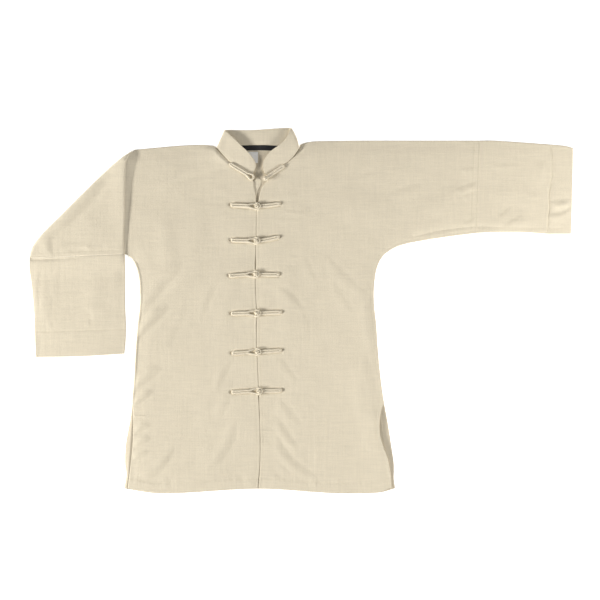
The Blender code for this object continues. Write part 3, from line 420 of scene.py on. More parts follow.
def bent_line(row, count=13):
    """The line of a fold or crease: a smooth arc through its start, middle and end."""
    start = np.array([row.x0, row.y0], dtype=float)
    middle = np.array([row.xm, row.ym], dtype=float)
    end = np.array([row.x1, row.y1], dtype=float)
    control = 2 * middle - 0.5 * (start + end)
    t = np.linspace(0.0, 1.0, count)[:, None]
    return (1 - t) ** 2 * start + 2 * (1 - t) * t * control + t**2 * end


def near_box(xy, line, reach):
    """Which points lie within reach of a line's bounding box."""
    low, high = line.min(axis=0) - reach, line.max(axis=0) + reach
    return np.where(((xy > low) & (xy < high)).all(axis=1))[0]


def folds_rise(xy, folds):
    """Soft symmetric ridges and troughs."""
    rise = np.zeros(len(xy))
    for fold in folds:
        line = bent_line(fold)
        near = near_box(xy, line, 2.6 * fold.width)
        if len(near):
            away, along, _ = nearest(xy[near], line)
            taper = ease(np.minimum(along, 1.0 - along) / 0.3)
            rise[near] += fold.height * taper * np.exp(-((away / fold.width) ** 2))
    return rise


def creases_rise(xy, creases):
    """Creases: a ridge beside the line, steep at the line, with a shallow trough on its other side."""
    rise = np.zeros(len(xy))
    for crease in creases:
        line = bent_line(crease)
        near = near_box(xy, line, 3.2 * crease.width)
        if len(near):
            away, along, side = nearest(xy[near], line)
            taper = ease(np.minimum(along / 0.3, (1.0 - along) / 0.4))
            width = crease.width * (0.62 + 0.45 * taper)
            across = side * away / width * math.copysign(1.0, crease.height)
            ridge = np.exp(-((across - 0.9) / 0.95) ** 2) - 0.5 * np.exp(-((across + 0.35) / 0.55) ** 2)
            rise[near] += CREASE_SHARE * abs(crease.height) * np.sqrt(taper) * ridge
    return rise


def swell(xy, seed):
    """The uneven lie of the cloth: long low waves and a few small ones."""
    waves = ((0.70, 95.0, 0.0), (0.18, 38.0, 7.0), (0.05, 15.0, 13.0))
    return sum(height * np.array([noise.noise((x / size, y / size, seed + shift)) for x, y in xy])
               for height, size, shift in waves)


def rows_rise(xy, rows, seed):
    """Each line of stitches pulls the cloth into a groove, with small puckers across it."""
    rise = np.zeros(len(xy))
    for number, row in enumerate(rows):
        line = np.array(row.line, dtype=float)
        length = float(np.linalg.norm(np.diff(line, axis=0), axis=1).sum())
        near = near_box(xy, line, 3.0 * row.reach)
        if len(near):
            away, along, _ = nearest(xy[near], line)
            places = along * length
            wave = np.array([0.5 * noise.noise((place / 7.0, number * 3.1, seed))
                             + 1.1 * noise.noise((place / 21.0, number * 4.3, seed)) for place in places])
            swing = np.array([noise.noise((place / 45.0, number * 5.7, seed + 2.0)) for place in places])
            rise[near] += row.pucker * wave * (0.7 + 1.4 * np.abs(swing)) * np.exp(-((away / row.reach) ** 2))
            fade = ease((length - places) / row.fade) if row.fade > 1.0 else 1.0
            rise[near] -= row.groove * np.exp(-((away / row.spread) ** 2)) * fade
    return rise


def inside(xy, outline):
    """Which points lie inside a closed outline."""
    corners = np.array(outline)
    result = np.zeros(len(xy), dtype=bool)
    for (x1, y1), (x2, y2) in zip(corners, np.roll(corners, -1, axis=0)):
        if y1 == y2:
            continue
        crosses = (y1 > xy[:, 1]) != (y2 > xy[:, 1])
        result ^= crosses & (xy[:, 0] < (x2 - x1) * (xy[:, 1] - y1) / (y2 - y1) + x1)
    return result


def closed_line(outline):
    return np.vstack([outline, outline[:1]])


def plan_points(outline, rows, spacing, insets):
    """Points inside an outline: rows just inside its edge and beside stitch lines, then a staggered grid."""
    ring = closed_line(outline)
    corners = np.array(outline)
    groups = [corners + inward(corners) * inset for inset in insets]
    for row in rows:
        line = resample(row.line, 3.0)
        groups += [shifted(line, offset) for offset in (0.0, -STITCH_GAP, STITCH_GAP)]
    low, high = corners.min(axis=0), corners.max(axis=0)
    grid = []
    for number, y in enumerate(np.arange(low[1], high[1], spacing * 0.87)):
        xs = np.arange(low[0] + (spacing / 2 if number % 2 else 0.0), high[0], spacing)
        grid.append(np.column_stack([xs, np.full(len(xs), y)]))
    tree = kdtree.KDTree(MOST_POINTS)
    kept = []
    clears = [0.35] * len(insets) + [0.9] * (3 * len(rows)) + [0.62 * spacing]
    for group, clear in zip(groups + [np.vstack(grid)], clears):
        group = group[inside(group, outline)]
        if not len(group):
            continue
        group = group[nearest(group, ring)[0] > 0.8 * min(clear, 2.0)]
        if kept:
            tree.balance()
            group = [point for point in group if tree.find((*point, 0.0))[2] > clear]
        for point in group:
            tree.insert((*point, 0.0), len(kept))
            kept.append(point)
    return kept


def triangulate(outline, extra):
    """Triangles that fill an outline and use its points and the extra points."""
    points = [tuple(map(float, point)) for point in list(outline) + list(extra)]
    found = delaunay_2d_cdt(points, [], [list(range(len(outline)))], 1, 1e-6)
    return np.array([tuple(point) for point in found[0]]), np.array([tuple(face) for face in found[2]])


def make_object(name, points, faces, material, angle=40.0):
    mesh = bpy.data.meshes.new(name)
    places = (np.array(points, dtype=float) * METRE).tolist()
    mesh.from_pydata(places, [], [list(map(int, face)) for face in faces])
    mesh.update()
    mesh.shade_smooth()
    mesh.set_sharp_from_angle(angle=math.radians(angle))
    mesh.materials.append(material)
    item = bpy.data.objects.new(name, mesh)
    bpy.context.scene.collection.objects.link(item)
    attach(item, "root")
    return item


def ring_faces(rings, sides, base=0, closed=False):
    """Faces between rings of points that follow each other, and from the last to the first where closed."""
    faces = []
    for i in range(rings if closed else rings - 1):
        here, after = base + i * sides, base + (i + 1) % rings * sides
        for k in range(sides):
            beside = (k + 1) % sides
            faces.append((here + k, here + beside, after + beside, after + k))
    return faces


def tube_faces(rings, sides, base=0):
    """Faces of a tube of rings, with both its ends."""
    last = base + (rings - 1) * sides
    ends = [tuple(range(base, base + sides))[::-1], tuple(range(last, last + sides))]
    return ring_faces(rings, sides, base) + ends


Edge = namedtuple("Edge", "line radius drop foot")

# The rim of a shell: each row's share of the bulge and of the depth, and the bulge as a share of the depth
RIM = ((0.8, 0.78), (1.0, 0.5), (0.8, 0.22))
RIM_BULGE = 0.27


def shell(outline, top, rows=(), edges=(), wall=WALL, spacing=SPACING, flat_under=None):
    """Points and faces of a closed shell of cloth: a fine upper side, an under side, and a rounded rim.

    Each edge drops over its radius, and one with a foot wraps down to that height at its rim.
    """
    outline = [np.array(point, dtype=float) for point in outline]
    area = sum(a[0] * b[1] - b[0] * a[1] for a, b in zip(outline, outline[1:] + outline[:1]))
    if area < 0:
        outline = outline[::-1]
    xy, faces = triangulate(outline, plan_points(outline, rows, spacing, (0.6, 1.7, 3.4)))
    count = len(outline)
    up = top(xy)
    foot = np.full(count, np.nan)
    for edge in edges:
        away, _, _ = nearest(xy, edge.line)
        near = away < edge.radius
        up[near] -= edge.drop * (1.0 - round_over(away[near] / edge.radius))
        if edge.foot is not None:
            foot[away[:count] < 0.4] = edge.foot
    low = up - wall if flat_under is None else np.minimum(flat_under(xy), up - LEAST_DEPTH)
    low[:count] = np.where(np.isnan(foot), low[:count] + 0.25 * wall, foot)
    low = np.maximum(low, FLOOR_GAP)
    up = np.maximum(up, low + LEAST_DEPTH)
    corners = xy[:count]
    total = len(xy)
    points = [*np.column_stack([xy, up]), *np.column_stack([xy, low])]
    depth = (up - low)[:count]
    for bulge, share in RIM:
        middle = corners - inward(corners) * (RIM_BULGE * bulge * depth)[:, None]
        points += [*np.column_stack([middle, low[:count] + depth * share])]
    solid = [tuple(face) for face in faces] + [tuple(total + i for i in face[::-1]) for face in faces]
    rings = [0] + [2 * total + k * count for k in range(len(RIM))] + [total]
    for upper, lower in zip(rings, rings[1:]):
        for i in range(count):
            j = (i + 1) % count
            solid.append((upper + i, lower + i, lower + j, upper + j))
    return points, solid


def merged(*parts):
    """Several shells as one list of points and faces."""
    points, faces = [], []
    for part_points, part_faces in parts:
        faces += [tuple(i + len(points) for i in face) for face in part_faces]
        points += list(part_points)
    return points, faces


def collar_seam(first, last, distance):
    """The collar's seam line between two stations, moved away from the band."""
    line = curve([(station.seam_x, station.seam_y) for station in COLLAR[first:last + 1]])
    return [tuple(point) for point in shifted(line, distance)]


def opening_gap(height):
    """Half the distance between the fronts: they part a little at the third fastening and above the hem."""
    upper = 0.9 * math.exp(-((height + 14.0) / 15.0) ** 2)
    lower = 0.6 * math.exp(-((height + 336.0) / 14.0) ** 2)
    return 0.75 + upper + lower + 0.25 * noise.noise((height / 30.0, 0.0, 4.0))


def opening_edge(top_points, side):
    """A front's edge along the opening, from the neck to the hem."""
    line = curve(list(top_points) + OPENING)
    return [(x + side * max(0.3, opening_gap(y)) * float(ease((150.0 - y) / 40.0)), y) for x, y in line]


LEFT_EDGE = opening_edge(OPENING_TOP_LEFT, 1.0)
RIGHT_EDGE = opening_edge(OPENING_TOP_RIGHT, -1.0)
SLEEVE_SEAM_LEFT = [(531, 281), (523, 60)]
LEFT_COLLAR_SEAM = collar_seam(17, 25, 0.4)
RIGHT_COLLAR_SEAM = collar_seam(0, 8, 0.4)


def front_left_outline():
    neck = [(101, 271), (99.5, 266)] + LEFT_COLLAR_SEAM[1:] + [(22, 193)]
    return join(curve(SHOULDER_LEFT)[::-1], neck, LEFT_EDGE, curve(HEM_LEFT)[::-1],
                curve(FRONT_VENT_LEFT)[::-1], curve(UNDERARM_LEFT)[::-1], curve(SLEEVE_SEAM_LEFT)[::-1])


def front_right_outline():
    neck = [(-108, 269), (-102, 267)] + RIGHT_COLLAR_SEAM[::-1][1:] + [(-14, 191)]
    under_turned = [(-302, -2), (-313, 7), (-332, 14), (-334, 222), (-322, 236), (-306, 250), (-297, 258)]
    return join(curve(SHOULDER_RIGHT)[:-1], under_turned[::-1], curve(SIDE_RIGHT), curve(FRONT_VENT_RIGHT),
                curve(HEM_RIGHT), RIGHT_EDGE[::-1], neck[::-1])


def back_outline():
    """Inside the fronts where they wrap round it, and out to its own edge at the neck, vents and hem."""
    neck = [(101, 269), (99, 262), (96, 258)] + collar_seam(10, 15, -0.6)[::-1]
    neck += [(-99, 262), (-103, 264), (-107, 267)]
    return join(shifted(curve(SHOULDER_LEFT), -WRAP_INSET)[::-1], neck,
                shifted(curve(SHOULDER_RIGHT), WRAP_INSET)[:-2], shifted(curve(DIAGONAL_FOLD), 3.6),
                curve(HIDDEN_UNDERARM)[:-4], shifted(curve(SIDE_RIGHT), WRAP_INSET), curve(BACK_VENT_RIGHT),
                curve(BACK_HEM)[::-1], curve(BACK_VENT_LEFT)[::-1],
                shifted(curve(UNDERARM_LEFT), -WRAP_INSET)[::-1], curve(SLEEVE_SEAM_LEFT)[::-1][2:-2])


def distance_to(xy, *tables):
    return np.minimum.reduce([nearest(xy, curve(table))[0] for table in tables])


Cloth = namedtuple("Cloth", "folds creases rows seed")


def cloth_rise(xy, cloth, roughness):
    """What the folds, creases and the cloth's uneven lie add to its height."""
    return (folds_rise(xy, cloth.folds) + creases_rise(xy, cloth.creases)
            + roughness * swell(xy, cloth.seed))


def opening_x(height):
    """Where the opening line is at a height."""
    return float(np.interp(-height, [-y for x, y in OPENING], [x for x, y in OPENING]))


def frog_rows(side):
    """Grooves beside the cords of the halves on one front, and a dip beyond each outer end."""
    rows = []
    for frog in FROGS:
        outer = np.array([frog.knot_x, frog.knot_y] if side > 0 else [frog.loop_x, frog.loop_y], dtype=float)
        inner = np.array([opening_x(frog.centre_y) + (10.0 if side > 0 else -21.0), frog.centre_y])
        ahead = (outer - inner) / np.linalg.norm(outer - inner)
        across = np.array([-ahead[1], ahead[0]])
        for offset in (FROG_GROOVE, -FROG_GROOVE):
            line = curve([inner + across * offset, outer + across * offset])
            rows.append(Row(line, 0.0, 4.0, False, 1.1, 1.0))
        end = outer + ahead * (CORD_RADIUS + 1.2)
        rows.append(Row(curve([end - across * 2.4, end + across * 2.4]), 0.0, 4.0, False, 1.5, 1.6))
    return rows


LEFT_ROWS = [
    Row(shifted(LEFT_EDGE, 7.0)[4:], 0.2, 8.0, True, 0.15),
    Row(shifted(curve(HEM_LEFT), -HEM_DEPTH), 1.0, 11.0, True, 0.5, 1.3),
    Row(shifted(curve(FRONT_VENT_LEFT), -9.0), 0.26, 8.0, True, 0.12),
    Row(shifted(curve(SLEEVE_SEAM_LEFT), -11.0), 0.42, 9.0),
    Row(shifted(curve(UNDERARM_LEFT), -6.0), 0.5, 8.0, False),
    Row(curve([(372, 51), (437, 65), (516, 76)]), 0.3, 8.0, False, 1.1, 3.4),
    Row(curve([(22, -340), (24, -452)]), 0.8, 13.0, False, 0.0),
    Row(curve(PRESS_LINE), 0.0, 1.0, False, 0.0),
] + frog_rows(1)
RIGHT_ROWS = [
    Row(shifted(RIGHT_EDGE, -7.0)[4:], 0.2, 8.0, True, 0.15),
    Row(shifted(curve(HEM_RIGHT), HEM_DEPTH), 1.0, 11.0, True, 0.5, 1.3),
    Row(shifted(curve(FRONT_VENT_RIGHT), 22.0), 0.25, 8.0, True, 0.12),
    Row(shifted(curve(SIDE_RIGHT)[2:], 6.0), 0.6, 8.0, False, 0.9, 2.4),
    Row(shifted(curve(SIDE_RIGHT)[4:], 2.5), 0.0, 8.0, False, -1.3, 5.5),
    Row(curve([(-297, -379), (-272, -379)], 2.0), 0.0, 4.0, True, -0.7, 1.3),
    Row(curve(STRIP_FOOT), 0.0, 1.0, False, 0.0),
] + frog_rows(-1)
TURNED_ROWS = [Row(shifted(curve(SLEEVE_SEAM_RIGHT), 10.5), 0.5, 9.0, True, 0.25),
               Row(curve([(-545, 3), (-480, 5), (-400, 8)]), 0.2, 6.0, False, 1.2, 2.8, 90.0)]
CUFF_ROWS_RIGHT = [Row(curve([(-536, -177), (-429, -174), (-317, -170)]), 0.4, 9.0),
                   Row(curve([(-541, -4), (-480, -2), (-380, 3)]), 0.2, 6.0, False, 1.9, 3.2, 130.0)]
CUFF_ROWS_LEFT = [Row(curve(CUFF_LINE_LEFT), 0.6, 9.0, True, 2.2, 1.7),
                  Row(curve([(530, 76), (640, 71), (726, 71)]), 0.3, 8.0, False, 1.0, 3.4)]
BACK_ROWS = [
    Row(shifted(curve(BACK_HEM), -22.0), 0.3, 9.0),
    Row(shifted(curve(BACK_VENT_LEFT), -16.0), 0.2, 8.0),
    Row(shifted(curve(BACK_VENT_RIGHT), 16.0), 0.2, 8.0),
    Row(curve([(1, 262), (0, 100), (-1, -150), (0, -548)]), 0.3, 10.0),
    Row(shifted(curve(FRONT_VENT_RIGHT), -1.5), 0.0, 1.0, False, 0.0),
    Row(shifted(curve(FRONT_VENT_RIGHT), -5.0), 0.0, 1.0, False, 0.0),
]

LEFT_CLOTH = Cloth(FOLDS_LEFT, CREASES_LEFT, LEFT_ROWS, 3.0)
RIGHT_CLOTH = Cloth(FOLDS_RIGHT, CREASES_RIGHT, RIGHT_ROWS, 21.0)
TURNED_CLOTH = Cloth(FOLDS_TURNED, CREASES_TURNED, TURNED_ROWS, 35.0)
LOWER_LEFT_CLOTH = Cloth(FOLDS_LOWER_LEFT, CREASES_LOWER_LEFT, CUFF_ROWS_LEFT, 47.0)
LOWER_RIGHT_CLOTH = Cloth(FOLDS_LOWER_RIGHT, CREASES_LOWER_RIGHT, CUFF_ROWS_RIGHT, 58.0)
BACK_CLOTH = Cloth([], CREASES_BACK, BACK_ROWS, 66.0)


def front_top(xy, cloth, rims):
    """Height of a front's outer side: low at its rims, higher inside, with its folds and stitch lines."""
    away = distance_to(xy, *rims)
    lift = EDGE_TOP + (INNER_TOP - EDGE_TOP) * ease(away / EDGE_RUN)
    lift = lift + HEM_STEP * (1.0 - ease((distance_to(xy, rims[-1]) - HEM_DEPTH) / HEM_STEP_RUN))
    lift = lift + cloth_rise(xy, cloth, 1.5) * ease(away / 10.0)
    return lift + rows_rise(xy, cloth.rows, cloth.seed)


def collar_rise(xy, seam, rise, shoulder):
    """The cloth beside the collar: up from the seam to a crest, more near the shoulder, then slowly down."""
    away = nearest(xy, seam)[0]
    share = ease((xy[:, 1] - 212.0) / 34.0)
    near = rise.near + rise.widening * share
    fade = np.exp(-np.maximum(0.0, away - near) / rise.far)
    return rise.height * share * ease(away / near) * fade * ease(distance_to(xy, shoulder) / 12.0)


def vent_curl(xy, edge, height, run):
    """An edge that lifts below the top of a vent."""
    share = ease((VENT_TOP - xy[:, 1]) / 50.0) * (0.25 + 0.75 * ease((xy[:, 1] + 535.0) / 60.0))
    return height * share * np.exp(-((distance_to(xy, edge) / run) ** 2))


def back_bow(xy):
    """What shows of the back at the right vent bows up towards the front's edge, and dips again beside it."""
    outer = distance_to(xy, BACK_VENT_RIGHT)
    inner, _, side = nearest(xy, curve(FRONT_VENT_RIGHT))
    width = np.maximum(outer + inner, 0.5)
    bow = np.sin(math.pi * np.where(side < 0.0, outer / width, 0.0) ** 1.7)
    return BACK_BOW * np.minimum(width, 16.0) * bow * ease((-352.0 - xy[:, 1]) / 20.0)


def line_step(xy, table, height, start):
    """A small sharp step up at a line, on its left, then slowly down; it starts over a share of the line."""
    away, along, side = nearest(xy, curve(table))
    signed = side * away
    fade = np.exp(-np.maximum(0.0, signed) / STEP_FAR)
    return height * ease(along / start) * ease(signed / 1.6 + 0.5) * fade


def strip_height(heights):
    """How far the strip beside the turned-over sleeve rises above the front at its edge."""
    return np.interp(heights, [row.y for row in STRIP_HEIGHTS], [row.height for row in STRIP_HEIGHTS])


def edge_place(table, heights):
    """Where a line that runs down the picture is at each height."""
    line = np.array(curve(table))[::-1]
    return np.interp(heights, line[:, 1], line[:, 0])


def strip_rise(xy):
    """The right front rises to the fold from a wavy line, and falls again under the turned sleeve."""
    y = xy[:, 1]
    wave = np.array([2.8 * noise.noise((value / 13.0, 3.0, 8.0)) for value in y])
    foot, edge = edge_place(STRIP_FOOT, y) + wave, edge_place(TURNED_RIGHT_EDGE, y)
    share = np.minimum((foot - xy[:, 0]) / np.maximum(foot - edge, 2.0), 1.0 - (edge - xy[:, 0]) / 7.0)
    return strip_height(y) * np.clip(share, 0.0, 1.0) * ease(y / 12.0) * ease((264.0 - y) / 12.0)


def left_top(xy):
    height = front_top(xy, LEFT_CLOTH, (SHOULDER_LEFT, UNDERARM_LEFT, FRONT_VENT_LEFT, HEM_LEFT))
    return (height + collar_rise(xy, LEFT_COLLAR_SEAM, COLLAR_RISE_LEFT, SHOULDER_LEFT)
            + vent_curl(xy, FRONT_VENT_LEFT, VENT_CURL, VENT_CURL_RUN)
            + line_step(xy, PRESS_LINE, PRESS_STEP, 0.25))


def right_top(xy):
    height = front_top(xy, RIGHT_CLOTH, (SHOULDER_RIGHT, SIDE_RIGHT, FRONT_VENT_RIGHT, HEM_RIGHT))
    rise = collar_rise(xy, RIGHT_COLLAR_SEAM, COLLAR_RISE_RIGHT, SHOULDER_RIGHT)
    return height + rise + strip_rise(xy)


def turned_top(xy):
    """The turned-over sleeve's height: rounded down at the diagonal fold, and up to the roll opposite."""
    away = distance_to(xy, TURNED_RIGHT_EDGE)
    crest = INNER_TOP + strip_height(xy[:, 1]) + WALL + TURNED_EDGE_DROP + 0.3 - TURNED_TOP
    height = TURNED_TOP + cloth_rise(xy, TURNED_CLOTH, 1.6) * ease(away / 9.0)
    height += crest * np.exp(-((away / TURNED_CREST_RUN) ** 2))
    edge_share = round_over(away / TURNED_EDGE_RUN)
    height -= TURNED_EDGE_DROP * (1.0 - edge_share)
    fold_share = round_over(distance_to(xy, DIAGONAL_FOLD) / DIAGONAL_EDGE_RUN)
    height = DIAGONAL_EDGE_TOP + (height - DIAGONAL_EDGE_TOP) * fold_share
    return height + rows_rise(xy, TURNED_ROWS, 35.0) * fold_share * edge_share


def sleeve_top(xy, cloth, sides, seam, seam_top):
    """Height of a lower sleeve's outer side: the upper sleeve's at the seam, and round at both sides."""
    away = distance_to(xy, *sides)
    height = EDGE_TOP + (TUBE_TOP - EDGE_TOP) * ease(away / TUBE_RISE_RUN)
    height += cloth_rise(xy, cloth, 1.5) * ease(away / TUBE_EDGE_RUN)
    share = ease(nearest(xy, seam)[0] / TUBE_SEAM_RUN)
    height = seam_top(xy) * (1.0 - share) + height * share + rows_rise(xy, cloth.rows, cloth.seed)
    return np.maximum(height, TUBE_LEAST)


def lower_left_top(xy):
    sides = (LOWER_LEFT_TOP, LOWER_LEFT_BOTTOM)
    height = sleeve_top(xy, LOWER_LEFT_CLOTH, sides, LOWER_LEFT_START, left_top)
    return height + line_step(xy, CUFF_LINE_LEFT[::-1], CUFF_STEP, 0.02)


def lower_right_top(xy):
    seam_line = np.interp(xy[:, 0], [-547.0, -320.5], [1.0, 10.0])

    def seam_top(places):
        return turned_top(np.column_stack([places[:, 0], np.maximum(places[:, 1], seam_line)]))

    sides = (LOWER_RIGHT_LEFT, LOWER_RIGHT_RIGHT)
    return sleeve_top(xy, LOWER_RIGHT_CLOTH, sides, SLEEVE_SEAM_RIGHT, seam_top)


def back_under(xy):
    """Height of the back's under side: flat near its edges, lifted off the surface here and there inside."""
    edges = (SHOULDER_LEFT, SHOULDER_RIGHT, UNDERARM_LEFT, SIDE_RIGHT, BACK_VENT_LEFT, BACK_VENT_RIGHT,
             BACK_HEM, DIAGONAL_FOLD)
    away = distance_to(xy, *edges)
    lift = np.clip(0.30 + cloth_rise(xy, BACK_CLOTH, 0.5), 0.0, BACK_MOST_LIFT) * ease(away / 40.0)
    grooves = 0.6 * np.minimum(0.0, rows_rise(xy, BACK_ROWS, 9.0))
    return 0.05 + lift - grooves + back_bow(xy)


def level(height):
    return lambda xy: np.full(len(xy), float(height))


def fold_edge(table, radius=1.5, drop=0.6):
    """An edge where the cloth folds round to the under side."""
    return Edge(curve(table), radius, drop, WRAP_FOOT)


def cut_edge(line, radius=1.3, drop=0.7):
    """A turned edge, a hem or a seam."""
    return Edge(line, radius, drop, None)


def threads(name, rows, top, outline, material, pitch=STITCH_PITCH, length=STITCH_LENGTH, clear=2.2, up=1.0):
    """Short threads along each line of stitches, on the upper side or, with up -1, on the under side."""
    ring = closed_line(outline)
    points, faces = [], []
    for row in rows:
        if not row.threads:
            continue
        line = resample(row.line, pitch)
        middles = 0.5 * (line[:-1] + line[1:])
        ahead = unit(line[1:] - line[:-1])
        keep = inside(middles, outline) & (nearest(middles, ring)[0] > clear)
        middles, ahead = middles[keep], ahead[keep]
        if not len(middles):
            continue
        lean = np.array([0.10 * noise.noise((x / 9.0, y / 9.0, 5.0)) for x, y in middles])
        ahead = ahead + left_of(ahead) * lean[:, None]
        centres = []
        for along, _, rise in THREAD:
            xy = middles + ahead * along * length
            centres.append(np.column_stack([xy, np.maximum(top(xy) + up * rise, STITCH_RADIUS)]))
        for i in range(len(middles)):
            side = np.array([-ahead[i, 1], ahead[i, 0], 0.0])
            faces += tube_faces(len(THREAD), THREAD_SIDES, len(points))
            for (_, size, _), centre in zip(THREAD, centres):
                for k in range(THREAD_SIDES):
                    turn = math.pi * (k / 2 + 0.25)
                    around = math.cos(turn) * side + np.array([0.0, 0.0, math.sin(turn)])
                    points.append(centre[i] + STITCH_RADIUS * size * around)
    return make_object(name, points, faces, material, angle=80.0)


def declare_cloth(item, node, slot, width, length, area, rests_on, held="laid", with_pieces=()):
    """Hides the solid that the sheet stands in for."""
    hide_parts(node)


def outline_area(outline):
    """Area inside a closed outline, in square metres."""
    corners = np.array(outline)
    after = np.roll(corners, -1, axis=0)
    return abs(float((corners[:, 0] * after[:, 1] - after[:, 0] * corners[:, 1]).sum())) * 0.5 * METRE**2


def stitched_sheet(node, outline, top, rows, edges, linen, thread, flat, rests_on, held="laid", wall=WALL):
    """A sheet of linen with its stitches, in the place of its solid; flat is its cut's width and length."""
    item = make_object(node + "_cloth", *shell(outline, top, rows, edges, wall), linen)
    stitches = threads(node + "_stitches", rows, top, outline, thread)
    declare_cloth(item, node, "linen", *flat, outline_area(outline), rests_on, held, [stitches])


def make_fronts(linen, thread):
    """Both fronts, each cut in one with the front of its upper sleeve."""
    rests_on = ["back_cloth", "underlap_cloth"]
    edges = [fold_edge(SHOULDER_LEFT), fold_edge(UNDERARM_LEFT), cut_edge(LEFT_EDGE, 0.6, 0.3),
             cut_edge(curve(HEM_LEFT)), cut_edge(curve(FRONT_VENT_LEFT)),
             cut_edge(curve(SLEEVE_SEAM_LEFT), 0.9, 0.22), cut_edge(LEFT_COLLAR_SEAM, 2.0, 0.9)]
    stitched_sheet("front_left", front_left_outline(), left_top, LEFT_ROWS, edges, linen, thread,
                   (0.62, 0.86), rests_on)
    edges = [fold_edge(SHOULDER_RIGHT), fold_edge(SIDE_RIGHT), cut_edge(RIGHT_EDGE, 0.6, 0.3),
             cut_edge(curve(HEM_RIGHT)), cut_edge(curve(FRONT_VENT_RIGHT)),
             cut_edge(RIGHT_COLLAR_SEAM, 2.0, 0.9)]
    stitched_sheet("front_right", front_right_outline(), right_top, RIGHT_ROWS, edges, linen, thread,
                   (0.40, 0.86), rests_on)


def make_back(linen_inside, thread):
    outline = back_outline()
    edges = [cut_edge(curve(table)) for table in (BACK_VENT_LEFT, BACK_VENT_RIGHT, BACK_HEM)]

    def top(xy):
        return back_under(xy) + WALL

    points, faces = shell(outline, top, BACK_ROWS, edges, spacing=COARSE, flat_under=back_under)
    # The back takes the darker linen, painted shade for the neck opening and the vents
    item = make_object("back_cloth", points, faces, linen_inside)
    stitches = [threads("back_stitches", BACK_ROWS[:3], top, outline, thread),
                threads("back_under_stitches", BACK_ROWS[:3], back_under, outline, thread, up=-1.0)]
    declare_cloth(item, "back", "linen_inside", 1.09, 0.86, outline_area(outline), [], with_pieces=stitches)


def make_lower_sleeve(node, outline, top, sides, ends, under_sides, cloth, linen, thread, flat):
    """A flattened sleeve: an upper sheet that wraps down at both sides, over a sheet on the surface."""
    cuff, seam = ends
    edges = [fold_edge(side) for side in sides] + [cut_edge(cuff), cut_edge(seam, 0.9, 0.3)]
    upper = shell(outline, top, cloth.rows, edges)

    def under_top(xy):
        lift = 0.35 * np.abs(swell(xy, cloth.seed + 5.0)) * ease(distance_to(xy, *sides) / 20)
        return 0.05 + WALL + lift

    lower = shell(join(*under_sides), under_top, cloth.rows, [], spacing=COARSE)
    name = node + "_cloth"
    item = make_object(name, *merged(upper, lower), linen)
    stitches = threads(name + "_stitches", cloth.rows, top, outline, thread)
    declare_cloth(item, node, "linen", *flat, None, [], held="folded", with_pieces=[stitches])


def make_lower_sleeves(linen, thread):
    top_side, under_side, start = curve(LOWER_LEFT_TOP), curve(LOWER_LEFT_BOTTOM), curve(LOWER_LEFT_START)
    cuff = curve([(756, 264), (751, 58)])
    outline = join(top_side, cuff, under_side[::-1], start[::-1])
    under = (shifted(top_side, -WRAP_INSET), shifted(under_side, WRAP_INSET)[::-1])
    make_lower_sleeve("sleeve_left_lower", outline, lower_left_top, (LOWER_LEFT_TOP, LOWER_LEFT_BOTTOM),
                      (cuff, start), under, LOWER_LEFT_CLOTH, linen, thread, (0.225, 0.430))
    left, right = curve(LOWER_RIGHT_LEFT), curve(LOWER_RIGHT_RIGHT)
    start = np.array(curve(SLEEVE_SEAM_RIGHT)) - [0, 0.7]
    cuff = curve([(-533, -238), (-430, -236), (-321, -230)])
    outline = join(left, cuff, right[::-1], start[::-1])
    under = (shifted(left, WRAP_INSET), shifted(right, -WRAP_INSET)[::-1])
    make_lower_sleeve("sleeve_right_lower", outline, lower_right_top, (LOWER_RIGHT_LEFT, LOWER_RIGHT_RIGHT),
                      (cuff, start), under, LOWER_RIGHT_CLOTH, linen, thread, (0.235, 0.430))


def make_turned(linen, linen_inside, thread):
    fold_line, right_line = curve(DIAGONAL_FOLD), curve(TURNED_RIGHT_EDGE)
    outline = join(fold_line, curve(SLEEVE_SEAM_RIGHT), right_line[::-1])
    edges = [Edge(fold_line, 0.6, 0.0, 0.15), Edge(right_line, 0.6, 0.0, 4.4),
             cut_edge(curve(SLEEVE_SEAM_RIGHT), 2.0, 0.9)]
    stitched_sheet("sleeve_right_turned", outline, turned_top, TURNED_ROWS, edges, linen, thread,
                   (0.235, 0.26), ["sleeve_right_layers_cloth"], held="folded")
    make_layers(fold_line, right_line, linen_inside)


def make_layers(fold_line, right_line, linen_inside):
    """The folded sleeve's two hidden layers, from just under the turned-over one to the right front."""
    layers = join(shifted(fold_line[4:-2], 4.2), [(-538, 15), (-430, 13), (-330, 14)],
                  shifted(right_line[6:-1], -2.2)[::-1])

    def layers_top(xy):
        steps = (-5.0, 0.0, 5.0)
        patch = [turned_top(xy + np.array([dx, dy])) for dx in steps for dy in steps]
        return np.minimum.reduce(patch) - WALL - 0.4

    def floor(xy):
        return 1.5 + 4.5 * ease((xy[:, 0] + 364.0) / 12.0)

    def upper_under(xy):
        return np.maximum(layers_top(xy) - WALL, floor(xy) + 0.4)

    def lower_top(xy):
        return np.maximum(upper_under(xy) - 0.2, floor(xy) + 0.2)

    upper = shell(layers, layers_top, spacing=COARSE, flat_under=upper_under)
    lower = shell(layers, lower_top, spacing=COARSE, flat_under=floor)
    # The hidden layers take the darker linen with its painted shade
    item = make_object("sleeve_right_layers_cloth", *merged(upper, lower), linen_inside)
    declare_cloth(item, "sleeve_right_layers", "linen_inside", 0.235, 0.50, outline_area(layers) * 2,
                  ["back_cloth", "front_right_cloth"], held="folded")


def make_underlap(linen, thread):
    line = curve(UNDERLAP)
    outline = join(line, [(UNDERLAP[-1][0], -478.0)], UNDERLAP_LEFT[::-1])[::-1]
    rows = [Row(shifted(line, -3.5), 0.1, 5.0)]
    stitched_sheet("underlap", outline, level(UNDERLAP_TOP), rows, [cut_edge(line, 1.3, 0.6)], linen, thread,
                   (0.045, 0.67), ["back_cloth"], wall=0.95)


